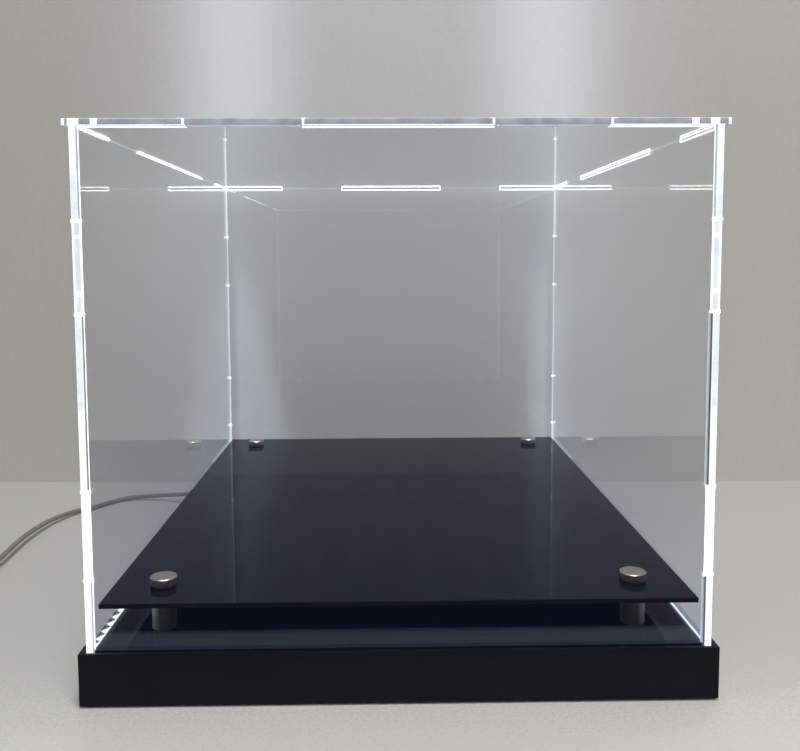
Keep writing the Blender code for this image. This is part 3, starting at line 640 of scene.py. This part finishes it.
def choose(piece, mode, wanted):
    """Opens a piece for editing, with just those of its faces or edges selected that pass a test."""
    only(piece)
    bpy.ops.object.mode_set(mode="EDIT")
    bpy.ops.mesh.select_mode(type=mode)
    bpy.ops.mesh.select_all(action="DESELECT")
    shape = bmesh.from_edit_mesh(piece.data)
    for part in shape.edges if mode == "EDGE" else shape.faces:
        if wanted(part):
            part.select_set(True)
    bmesh.update_edit_mesh(piece.data)


def lit(piece, level_of):
    """Writes how brightly each face of a piece shines, as a function tells."""
    light = piece.data.attributes.new("edge_light", "FLOAT", "FACE")
    for face in piece.data.polygons:
        light.data[face.index].value = level_of(face)
    return piece


def painted(piece, looks, pick):
    """Gives a piece its materials, and each face the one whose number a function picks."""
    for look in looks:
        piece.data.materials.append(look)
    for face in piece.data.polygons:
        face.material_index = int(pick(face))


def joined(pieces, name):
    """Several pieces joined into one."""
    bpy.ops.object.select_all(action="DESELECT")
    for piece in pieces:
        piece.select_set(True)
    bpy.context.view_layer.objects.active = pieces[0]
    bpy.ops.object.join()
    pieces[0].name = name
    pieces[0].data.name = name
    return pieces[0]


def finished(piece, looks, body, slot, *stands_for):
    """Gives a piece its materials and its body, and hides the CAD nodes that it stands for. Its slot is not
    used.
    """
    for look in looks:
        piece.data.materials.append(look)
    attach(piece, body)
    if stands_for:
        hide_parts(*stands_for)
    return piece


def rows(piece, count, step):
    """Repeats a piece in a row, so many times, a step in millimetres apart."""
    offset = {"use_relative_offset": False, "use_constant_offset": True}
    modified(piece, "ARRAY", count=count, constant_offset_displace=Vector(step) * MM, **offset)


# The cover


def within(value, reaches):
    """Whether a value lies in one of several reaches."""
    return any(low < value < high for low, high in reaches)


def lid_level(x, y, normal):
    """How brightly a face of the lid shines, by its place in millimetres and its normal."""
    across, along, upward = (abs(value) for value in normal)
    if upward > 0.75:
        return SHINE["clear face"]
    rim = upward > 0.5
    if abs(y) > LID_EDGE[1]:
        for low, high, flat in LID_MARKS:
            if low < x < high:
                return SHINE["lid rim at a joint"] if rim else flat
    if y < -LID_EDGE[1] and rim and normal[2] < 0 and within(x, CEMENTED_X):
        return SHINE["lid rim at a joint"]
    if abs(x) > LID_EDGE[0] or abs(y) > LID_EDGE[1]:
        return SHINE["lid's top rim" if rim and normal[2] > 0 else "lid's edge"]
    beside = abs(x) > INSIDE_HALF[0] - 1
    if beside and across > 0.7 and abs(x) < WALL_FACE[0]:
        return SHINE["side slot's face"]
    return SHINE["slot's end" if (along if beside else across) > 0.7 else "slot's side"]


def wall_level(x, y, z, normal, kind):
    """How brightly a face of a wall shines, by its place in millimetres and its normal."""
    across, along, upward = (abs(value) for value in normal)
    thin = along if kind == "end" else across
    front = y < 0
    if thin > 0.75:
        return SHINE["clear face"]
    rim = thin > 0.5
    if upward > 0.7 or (rim and upward > 0.5):
        if z > LID_UNDERSIDE + 1:
            return SHINE["tab"]
        if z > LID_UNDERSIDE - 2:
            return SHINE["shoulder"]
        if z < FOOT_LOW:
            return SHINE["foot"]
        return SHINE["front finger's end" if front else "back finger's end"]
    if z > LID_UNDERSIDE:
        return SHINE["tab"]
    if kind == "side":
        outside = abs(y) > WALL_FACE[1]
        if front and (rim or within(z, TICKS) or z < PALE[-1][0]):
            return SHINE["side's front rim"]
        if front and outside:
            return SHINE["side's pale front" if within(z, PALE) else "side's front"]
        if front:
            return SHINE["side's front recess"]
        if outside:
            low_or_high = z > FINGER_ENDS[-1] or z < FINGER_ENDS[0]
            return SHINE["side's back" if low_or_high else "side's back middle"]
        return SHINE["side's back recess"]
    if abs(x) > WALL_FACE[0]:
        return SHINE["front's finger" if front else "back's finger"]
    if not front:
        return SHINE["back's recess"]
    if z > FINGER_ENDS[-1]:
        return SHINE["front's top recess"]
    if x > 0:
        return SHINE["front's right recess"]
    return SHINE["front's left recess" if z > FINGER_ENDS[1] else "front's low left recess"]


def cover_sheet(node, name, kind, clear, edge, foot=None):
    """One clear sheet of the cover, with its cut edges eased and lit."""
    piece = copied(node, name, "cover")
    eased(piece, 0.22, 1)
    cuts = [(0, 0, level) for level in (FOOT_LOW, FOOT_HIGH)] if foot else []
    if kind == "side":
        cuts += [(0, 0, level) for pair in TICKS + PALE for level in pair]
    if kind == "lid":
        places = {place for pair in CEMENTED_X for place in pair}
        places.update(place for mark in LID_MARKS for place in mark[:2])
        cuts += [(place, 0, 0) for place in sorted(places) if abs(place) < 149]
    only(piece)
    bpy.ops.object.mode_set(mode="EDIT")
    for cut in cuts:
        bpy.ops.mesh.select_all(action="SELECT")
        bpy.ops.mesh.bisect(plane_co=Vector(cut) * MM, plane_no=Vector(cut).normalized())
    bpy.ops.object.mode_set(mode="OBJECT")

    def level_of(face):
        x, y, z = face.center / MM
        return lid_level(x, y, face.normal) if kind == "lid" else wall_level(x, y, z, face.normal, kind)

    def look_of(face):
        if level_of(face) >= 0:
            return 1
        inner = 1 if kind == "end" else 0
        faces_in = face.normal[inner] * face.center[inner] < 0 and abs(face.normal[inner]) > 0.9
        return 2 if foot and faces_in and FOOT_LOW * MM < face.center.z < FOOT_HIGH * MM else 0

    painted(piece, (clear, edge, foot) if foot else (clear, edge), look_of)
    lit(piece, lambda face: max(0.0, level_of(face)))


def bead(low, high, way, flat, hollow):
    """A concave bead of cement in a corner: a bar pared off along its edge away from the corner.

    The faces against the sheets shine at one level, and the pared ones at another.
    """
    piece = block("bar", low, high)
    middle = (Vector(low) + Vector(high)) / 2 * MM

    def pared(edge):
        first, second = (vertex.co for vertex in edge.verts)
        outward = (first + second) / 2 - middle
        along = second - first
        axes = [axis for axis in range(3) if way[axis]]
        return all(outward[axis] * way[axis] > 0 and abs(along[axis]) < 1e-7 for axis in axes)

    choose(piece, "EDGE", pared)
    thin = min(Vector(high) - Vector(low)) * MM
    bpy.ops.mesh.bevel(offset=thin * 0.9, segments=3, profile=0.2, affect="EDGES")
    bpy.ops.object.mode_set(mode="OBJECT")
    bpy.ops.object.shade_smooth_by_angle(angle=math.radians(35))

    def level_of(face):
        against = any(abs(part) > 0.999 and part * side < 0 for part, side in zip(face.normal, way))
        return flat if against else hollow

    return lit(piece, level_of)


def cement_beads(look):
    """Beads along the cover's upright corners and under the lid where the walls' tabs enter it."""
    inner_x, inner_y = (half - BEAD_GAP for half in INSIDE_HALF)
    top = LID_UNDERSIDE - BEAD_GAP
    bars = []
    for side, end in CORNERS.values():
        for low, high, front_left, front_right, back in BEAD_ZONES:
            level = back if end > 0 else front_right if side > 0 else front_left
            dim = end < 0 and level < DIM_BEAD
            wide = WIDE_BEAD if end > 0 or dim else BEAD_LEG
            xs = sorted((side * (inner_x - wide), side * inner_x))
            ys = sorted((end * (inner_y - BEAD_LEG), end * inner_y))
            hollow = level if end > 0 else 0.12
            bars.append(bead((xs[0], ys[0], low), (xs[1], ys[1], high), (-side, -end, 0), level, hollow))
            if dim:
                xs = sorted((side * (inner_x - wide - DROP_THICK), side * (inner_x - wide)))
                bars.append(drop((xs[0], ys[0], low), (xs[1], ys[1], high), 0.4))
    for start, stop in CEMENTED_X:
        start = max(start, BEAD_LEG - inner_x)
        stop = min(stop, inner_x - BEAD_LEG)
        thick = BEAD_LEG if start < 0 < stop else 0.55
        bars.append(bead((start, -inner_y, top - thick), (stop, thick - inner_y, top), (0, 1, -1), 1.6, 0.4))
        behind = inner_y - DROP_THICK
        bars.append(drop((start, behind, top - 1.75), (stop, inner_y, top - 0.95), 3.0))
        for place in (start, stop - 0.8):
            bars.append(drop((place, behind, top - 1.65), (place + 0.8, inner_y, top), 1.5))
    for start, stop in TABS_Y:
        start = max(start, -inner_y)
        stop = min(stop, inner_y)
        bars.append(bead((-inner_x, start, top - 0.5), (0.5 - inner_x, stop - 1.5, top), (1, 0, -1), 4.0, 4.0))
        beside = inner_x - DROP_THICK
        bars.append(drop((beside, start, top - 1.65), (inner_x, stop, top - 1.15), 1.5))
        for place in (start, stop - 1.6):
            bars.append(drop((beside, place, top - 1.6), (inner_x, place + 1.6, top), 1.5))
    for side in (-1, 1):
        for level in FINGER_ENDS:
            xs = sorted((side * 141.9, side * 146.9))
            bars.append(drop((xs[0], -188.0, level - 0.8), (xs[1], -187.6, level + 0.8), 1.3))
            xs = sorted((side * 142.0, side * 143.6))
            bars.append(drop((xs[0], 183.4, level - 0.9), (xs[1], 184.6, level + 0.9), 1.3))
    finished(joined(bars, "cement_beads"), [look], "cover", "clear_acrylic")


def drop(low, high, level):
    """A drop of cement squeezed out where a finger ends, with rounded edges."""
    piece = block("drop", low, high)
    eased(piece, min(Vector(high) - Vector(low)) * 0.45, 3)
    return lit(piece, lambda face: level)


def cover(clear, dusty, edge, cement):
    """The five sheets and the cement in their joints."""
    cover_sheet("top_panel", "clear_lid", "lid", clear, edge)
    # The walls' feet glow with painted light for the chips below them: flames on the left, a line on the right
    # and a faint blue veil at the front and back. The side walls take the acrylic with the stronger painted
    # glow.
    flames = lit_foot("flames", 1.0, 0.86, 1.3, 0.02, "#fffbd8", "#f4f8ff")
    line = lit_foot("line", 0.4, 0.0, 1.0, 0.3, "#f0f6ff", "#d3e1fb")
    veil = lit_foot("veil", 0.1, 0.0, 0.01, 0.012, "#8b97ff", "#8b97ff")
    cover_sheet("left_panel", "clear_left_wall", "side", dusty, edge, flames)
    cover_sheet("right_panel", "clear_right_wall", "side", dusty, edge, line)
    cover_sheet("front_panel", "clear_front_wall", "end", clear, edge, veil)
    cover_sheet("back_panel", "clear_back_wall", "end", clear, edge, veil)
    cement_beads(cement)


# The base, the shelf and the standoffs


def base(black, hazed, satin, rubber):
    """The glued black sheets of the base, glossy with satin sawn edges, and its foot pads."""
    for name in ("front", "back", "left", "right"):
        piece = copied("base_wall_" + name, "black_base_wall_" + name, "base")
        eased(piece, 0.25, 2)
        piece.data.materials.append(satin)
    for node in ("base_top", "base_bottom", "shelf"):
        piece = copied(node, "black_" + node, "base")
        eased(piece, 0.25, 2)
        # The base's top takes the black acrylic with a faint painted blue glow, for the strips' light on it.
        face_look = hazed if node == "base_top" else black
        painted(piece, (face_look, satin), lambda face: abs(face.normal.z) <= 0.9)
    for corner in CORNERS:
        x, y = middle_of("foot_pad_" + corner)
        piece = turned("rubber_foot_" + corner, x, y, FOOT_PROFILE, sides=64)
        finished(piece, [rubber], "base", "black_rubber", "foot_pad_" + corner)


def middle_of(node):
    """The place of a node's middle from above, in millimetres."""
    low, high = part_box(node)
    return ((low + high) / MM / 2).xy


def hidden_solids(looks):
    """Materials for the CAD solids inside the base, by how their names start."""
    for node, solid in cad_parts.items():
        for starts, look in looks.items():
            if node.startswith(starts):
                for slot in solid.material_slots:
                    slot.material = look


def standoffs(turned_steel, faced_steel, brushed_steel, haze):
    """Four standoffs: lathe-turned barrels and caps with a clear washer under each cap."""
    for corner in CORNERS:
        x, y = middle_of("barrel_" + corner)
        barrel = turned("steel_barrel_" + corner, x, y, BARREL_PROFILE, ring=True)
        finished(barrel, [brushed_steel], "base", "brushed_steel", "barrel_" + corner)
        washer = turned("clear_washer_" + corner, x, y, WASHER_PROFILE, ring=True)
        finished(washer, [haze], "base", "clear_washer", "washer_" + corner)
        cap = turned("steel_cap_" + corner, x, y, CAP_PROFILE)
        axis = Vector((x * MM, y * MM, 0.0))
        from_axis = cap.data.attributes.new("from_axis", "FLOAT_VECTOR", "POINT")
        for vertex in cap.data.vertices:
            from_axis.data[vertex.index].vector = (*(vertex.co - axis).xy, 0.0)
        top = 51.8 * MM
        painted(cap, (turned_steel, faced_steel), lambda face: face.normal.z > 0.9 and face.center.z > top)
        finished(cap, [], "base", "brushed_steel", "cap_" + corner)


# The lighting


def led_tapes(mask, copper, housing, phosphor):
    """The four LED tapes: a white board, chips with a lit well, and solder pads at the cut lines."""
    tapes = (("left", 1, -145.1), ("right", 1, 145.1), ("front", 0, -186.1), ("back", 0, 186.1))
    for name, axis, centre in tapes:
        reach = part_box("led_strip_" + name)[1][axis] / MM
        count = 44 if axis else 34

        def corner(across, along, z):
            place = [0.0, 0.0, z]
            place[axis] = along
            place[1 - axis] = centre + across
            return place

        board = block("board", corner(-1.45, -reach, 15.1), corner(1.45, reach, 15.5))
        board.data.materials.append(mask)
        eased(board, 0.08, 1)
        first = -(count - 1) / 2 * LED_PITCH
        chip = block("chip", corner(-0.8, first - 1.1, 15.5), corner(0.8, first + 1.1, 16.2))
        choose(chip, "FACE", lambda face: face.normal.z > 0.9)
        bpy.ops.mesh.inset(thickness=0.22 * MM, depth=0.0)
        bpy.ops.mesh.inset(thickness=0.08 * MM, depth=-0.15 * MM)
        bpy.ops.object.mode_set(mode="OBJECT")
        well = (15.9 * MM, 16.1 * MM)
        painted(
            chip, (housing, phosphor), lambda face: face.normal.z > 0.9 and well[0] < face.center.z < well[1]
        )
        step = [0.0, 0.0, 0.0]
        step[axis] = LED_PITCH
        rows(chip, count, step)
        cut_line = first + LED_PITCH / 2
        pad = block("pad", corner(0.55, cut_line - 0.7, 15.5), corner(1.2, cut_line + 0.7, 15.58))
        pad.data.materials.append(copper)
        eased(pad, 0.02, 1)
        step[axis] = LED_PITCH * 3
        rows(pad, (count - 1) // 3, step)
        tape = joined([board, chip, pad], "led_tape_" + name)
        finished(tape, [], "base", "led_strip", "led_strip_" + name)


def cushions(look):
    """Silicone cushions on the tapes, which carry the cover."""
    for corner in CORNERS:
        low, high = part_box("cover_cushion_" + corner)
        piece = block("silicone_cushion_" + corner, low / MM, high / MM)
        eased(piece, 0.3, 3)
        finished(piece, [look], "base", "silicone", "cover_cushion_" + corner)


# The lead


def smooth_route(points, step):
    """Points a step apart on one smooth curve through the given points."""
    places = [Vector(point) for point in points]
    places = [2 * places[0] - places[1], *places, 2 * places[-1] - places[-2]]
    fine = []
    for before, start, end, after in zip(places, places[1:], places[2:], places[3:]):
        pieces = max(2, math.ceil((end - start).length / step * 8))
        for index in range(pieces):
            t = index / pieces
            bend = 2 * before - 5 * start + 4 * end - after
            twist = 3 * start - before - 3 * end + after
            fine.append(0.5 * (2 * start + (end - before) * t + bend * t**2 + twist * t**3))
    fine.append(places[-2])
    length = sum((second - first).length for first, second in zip(fine, fine[1:]))
    count = max(2, round(length / step))
    spaced = [fine[0]]
    travelled = 0.0
    for first, second in zip(fine, fine[1:]):
        piece = (second - first).length
        while len(spaced) < count and travelled + piece >= length * len(spaced) / count:
            share = (length * len(spaced) / count - travelled) / piece
            spaced.append(first.lerp(second, share))
        travelled += piece
    spaced.append(fine[-1])
    return spaced


def ease(share):
    """A smooth step from 0 to 1."""
    return share * share * (3 - 2 * share)


def climbed(turn):
    """How many layers the winding has climbed after some turns."""
    layers = 0.0
    for index in range(1, COIL_LAYERS):
        begin = index * LAYER_TURNS - CLIMB_TURNS / 2
        layers += min(1.0, max(0.0, (turn - begin) / CLIMB_TURNS))
    return layers


def inward(turn):
    """How far in the winding is, from 0 to 1: in over one layer and out over the next."""
    fold = turn / LAYER_TURNS % 2
    return fold if fold < 1 else 2 - fold


def on_turn(centre, radius, turn, height):
    """The point of a clockwise winding after some turns."""
    angle = -2 * math.pi * turn
    return Vector((centre[0] + radius * math.cos(angle), centre[1] + radius * math.sin(angle), height))


def coil_points():
    """The coil's points, its tail round the outside and the straight end at the plug."""
    start = Vector(COIL_START)
    swing = LAYER_TURNS * RADIAL_PITCH
    largest = COIL_MID_DIAMETER / 2 + swing / 2
    centre = (start.x - largest, start.y)
    total = COIL_LAYERS * LAYER_TURNS
    points = []
    count = round(total * LOOP_POINTS)
    for index in range(count + 1):
        turn = total * index / count
        height = start.z + LAYER_PITCH * climbed(turn)
        points.append(on_turn(centre, largest - swing * inward(turn), turn, height))
    top = start.z + LAYER_PITCH * (COIL_LAYERS - 1)
    end_turn = math.ceil(total) + 1 / 2
    leave = total + TAIL_LEAVE_TURNS
    count = round((end_turn - total) * LOOP_POINTS)
    for index in range(1, count + 1):
        turn = total + (end_turn - total) * index / count
        outward = min(1.0, (turn - total) / TAIL_LEAVE_TURNS)
        downward = max(0.0, (turn - leave) / (end_turn - leave))
        height = top + (PLUG_AXIS_HEIGHT - top) * ease(downward) * TAIL_DROP
        points.append(on_turn(centre, largest + RADIAL_PITCH * ease(outward), turn, height))
    last = points[-1]
    for index in range(1, TAIL_STEPS + 1):
        along = last.y + TAIL_STRAIGHT * index / TAIL_STEPS
        level = ease(min(1.0, index / (TAIL_STEPS - 1)))
        points.append(Vector((last.x, along, last.z + (PLUG_AXIS_HEIGHT - last.z) * level)))
    return points


def lead(pvc, metal):
    """The USB lead: its boot at the base, its run and coil on the table, and its plug."""
    leave = Vector(LEAD_EXIT)
    first = leave - Vector((LEAD_DIAMETER, 0.0, 0.0))
    arrive = Vector(COIL_START) + Vector((0.0, LEAD_DIAMETER + SEAT, 0.0))
    last = arrive + Vector((0.0, LEAD_DIAMETER, 0.0))
    route = [leave, *smooth_route([first, *LEAD_ROUTE, last], LEAD_STEP), arrive, *coil_points()]
    curve = bpy.data.curves.new("grey_lead", "CURVE")
    curve.dimensions = "3D"
    curve.bevel_depth = LEAD_DIAMETER / 2
    curve.bevel_resolution = 5
    curve.use_fill_caps = True
    spline = curve.splines.new("POLY")
    spline.points.add(len(route) - 1)
    for place, point in zip(spline.points, route):
        place.co = (*point, 1.0)
    spline.use_smooth = True
    flex = bpy.data.objects.new("grey_lead", curve)
    bpy.context.scene.collection.objects.link(flex)
    finished(flex, [pvc], "base", "grey_pvc", "lead_free", "lead_coil")
    pieces = [lead_boot(pvc), *plug(pvc, metal, route[-1])]


def lead_boot(pvc):
    """The gland and its tapered, ribbed boot, turned and laid along the lead's way out."""
    profile = [(3.0, -6.8), (3.0, 0.0), (4.3, 0.0), (4.5, 0.2), (4.5, 1.3), (4.3, 1.5), (3.0, 1.5)]
    for rib in range(BOOT_RIBS):
        start = 2.2 + rib * 2.1
        radius = 2.95 - rib * 0.12
        groove = radius - 0.45
        profile += [(radius, start), (groove, start + 0.3), (groove, start + 1.0), (radius - 0.1, start + 1.3)]
    profile += [(2.4, 14.2), (2.25, 14.5)]
    piece = turned("ribbed_lead_boot", 0.0, 0.0, profile, sides=48)
    only(piece)
    bpy.ops.object.mode_set(mode="EDIT")
    bpy.ops.mesh.select_all(action="SELECT")
    shape = bmesh.from_edit_mesh(piece.data)
    for vertex in shape.verts:
        x, y, z = vertex.co
        vertex.co = (BOOT_PLACE - z, LEAD_EXIT[1] + y, LEAD_EXIT[2] + x)
    bmesh.update_edit_mesh(piece.data)
    bpy.ops.mesh.normals_make_consistent(inside=False)
    bpy.ops.object.mode_set(mode="OBJECT")
    return finished(piece, [pvc], "base", "grey_pvc", "lead_gland")


def plug(pvc, metal, end):
    """The moulded plug body with its neck, and the metal shell, hollowed at its mouth."""
    low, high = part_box("plug_body")
    half = (high - low) / MM / 2
    x, z = end.x / MM, end.z / MM
    root = low.y / MM + PLUG_NECK
    body = block(
        "moulded_plug_body", (x - half.x, root, z - half.z), (x + half.x, high.y / MM, z + half.z)
    )
    choose(body, "FACE", lambda face: face.normal.y < -0.9)
    steps = ((PLUG_STEP, root, (0.55, 1.0, 0.82)), (PLUG_NECK - PLUG_STEP, low.y / MM, (0.56, 1.0, 0.76)))
    for reach, middle, scale in steps:
        bpy.ops.mesh.extrude_region_move(TRANSFORM_OT_translate={"value": (0.0, -reach * MM, 0.0)})
        bpy.ops.transform.resize(value=scale, center_override=(x * MM, middle * MM, z * MM))
    bpy.ops.object.mode_set(mode="OBJECT")
    eased(body, 1.2, 4)
    finished(body, [pvc], "base", "grey_pvc", "plug_body")
    low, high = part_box("plug_shell")
    shell = block("plug_metal_shell", low / MM, high / MM)
    choose(shell, "FACE", lambda face: face.normal.y > 0.9)
    bpy.ops.mesh.inset(thickness=0.4 * MM, depth=0.0)
    bpy.ops.mesh.extrude_region_move(TRANSFORM_OT_translate={"value": (0.0, -12.0 * MM, 0.0)})
    bpy.ops.object.mode_set(mode="OBJECT")
    eased(shell, 0.15, 2)
    finished(shell, [metal], "base", "plated_steel", "plug_shell")
    return [body, shell]


# The stage


def stage():
    """A pale table over a dark floor, and a grey wall close behind the box, as in the photograph."""
    table = block("stage_table", (-1500, TABLE_EDGE, -25), (1500, 250, -0.1))
    table.data.materials.append(table_laminate())
    eased(table, 2.0, 3)
    boards = even_finish(
        "dark_floor_boards", 60.0, ("#26221e", "#322c27"), (0.4, 0.6), detail=3.0, stretch=(1.0, 0.1, 1.0)
    )
    floor = block("stage_floor", (-3000, -3500, -760), (3000, 400, -740))
    floor.data.materials.append(boards)
    bpy.ops.object.select_all(action="DESELECT")
    upright = (math.radians(90), 0.0, math.radians(-1.5))
    bpy.ops.mesh.primitive_plane_add(size=6.0, location=(0.0, 0.2125, 2.25), rotation=upright)
    wall = named("stage_wall")
    wall.data.materials.append(wall_paint())


def soft_light(name, place, aim, size, power, color):
    """A large soft lamp."""
    bpy.ops.object.light_add(type="AREA", location=place)
    lamp = bpy.context.active_object
    lamp.name = name
    lamp.data.shape = "RECTANGLE"
    lamp.data.size, lamp.data.size_y = size
    lamp.data.energy = power
    lamp.data.color = linear(color)[:3]
    lamp.rotation_euler = (Vector(aim) - Vector(place)).to_track_quat("-Z", "Y").to_euler()
    return lamp


def lighting():
    """Soft room light from above and from the front, and an even grey surround."""
    soft_light("ceiling_light", (0.21, -0.8, 2.65), (0.0, 0.1, 0.0), (1.06, 1.06), 48.5, "#fffcf8")
    room = soft_light("room_light", (0.5, -1.4, 1.1), (0.0, -0.1, 0.0), (1.0, 1.0), 15.0, "#fffbf6")
    room.visible_glossy = False
    room.visible_transmission = False
    world = bpy.data.worlds.new("grey_surround")
    bpy.context.scene.world = world
    world.use_nodes = True
    backdrop = world.node_tree.nodes["Background"]
    backdrop.inputs["Color"].default_value = linear("#b4bac4")
    backdrop.inputs["Strength"].default_value = 0.17


def light_paths():
    """Bounces enough for all the clear sheets behind one another, and no caustics."""
    bpy.context.scene.view_settings.view_transform = "Standard"
    cycles = bpy.context.scene.cycles
    cycles.transparent_max_bounces = 48
    cycles.max_bounces = 16
    cycles.transmission_bounces = 16
    cycles.glossy_bounces = 8
    cycles.caustics_refractive = False
    cycles.caustics_reflective = False


light_paths()
camera()

PVC = grey_pvc()
NICKEL = even_finish(
    "nickel_plated_steel", 0.8, ("#bdbab2", "#d2cfc8"), (0.16, 0.28), stretch=(1.0, 0.1, 1.0), Metallic=1.0
)
lead(PVC, NICKEL)

# Both acrylics carry a faint painted blue glow for the strips' light, the second one more of it and low down.
CLEAR = cast_acrylic("clear_cast_acrylic", 0.003, 0.0, "#4a86ff")
DUST_GLOW_ACRYLIC = cast_acrylic("dust_glow_cast_acrylic", 0.016, 0.024, "#b4c6ff")
cover(CLEAR, DUST_GLOW_ACRYLIC, lit_cut_edge(), cement_bead())

TURNED = lathe_steel("turned_stainless_steel", ("#c4beb5", "#cfc9c0"), (0.34, 0.42), 0.0004)
# The barrels' steel has a darker tone than the caps': painted shade, for the barrels stand under the shelf.
BRUSHED_SHADED_STEEL = lathe_steel("brushed_stainless_steel_shaded", ("#938e87", "#9d9890"), (0.38, 0.46), 0.0004, drawn=0.8)
FACED = lathe_steel("faced_stainless_steel", ("#979087", "#bbb4a9"), (0.3, 0.45), 0.004, faced=True)
POLISH = (0.0, 0.012)
GLOSS = black_acrylic("glossy_black_acrylic", ("#070a13", "#090c16"), POLISH, 1.145, "#cfe4ff", bloom=0.05)
SATIN = black_acrylic("satin_black_acrylic", ("#121216", "#17171c"), (0.32, 0.4), 1.22, "#f2f4ff")
# The third black acrylic has a faint painted blue glow that stands in for the strips' light on the base's top.
GLOWING_BLACK = black_acrylic("painted_glow_black_acrylic", ("#090d17", "#0b101a"), POLISH, 1.13, "#d4e8ff", 0.0025)
RUBBER = even_finish("black_foot_rubber", 1.0, ("#141414", "#242424"), (0.7, 0.9), depth=0.05, detail=3.0)
BOARD = even_finish("white_fibre_board", 0.8, ("#cfd0ca", "#e0e1dc"), (0.4, 0.6))
WIRE = even_finish("white_wire_jacket", 3.0, ("#c9c9c4", "#dcdcd8"), (0.35, 0.5))
base(GLOSS, GLOWING_BLACK, SATIN, RUBBER)
hidden_solids({
    ("rail_", "ledge_"): GLOSS,
    ("feed_wire", "corner_jumper"): WIRE,
    "inner_lead": PVC,
    "junction_board": BOARD,
    "standoff_screw": TURNED,
})

WASHER = even_finish(
    "hazed_clear_pvc", 1.5, ("#a9adb2", "#bfc3c8"), (0.25, 0.4), Transmission_Weight=0.9, IOR=1.53
)
standoffs(TURNED, FACED, BRUSHED_SHADED_STEEL, WASHER)

MASK = even_finish("white_solder_mask", 2.0, ("#e4e4de", "#f2f2ee"), (0.35, 0.5), depth=0.02)
COPPER = even_finish("tinned_copper", 0.5, ("#c08a58", "#c9c7c2"), (0.25, 0.45), at=(0.35, 0.5), Metallic=1.0)
HOUSING = even_finish("white_chip_housing", 0.6, ("#e9e9e6", "#f6f6f4"), (0.4, 0.55))
led_tapes(MASK, COPPER, HOUSING, lit_phosphor())
SILICONE = even_finish(
    "milky_silicone", 1.2, ("#bfc4ca", "#d8dce0"), (0.35, 0.5), Transmission_Weight=0.4, IOR=1.41
)
cushions(SILICONE)

stage()
lighting()
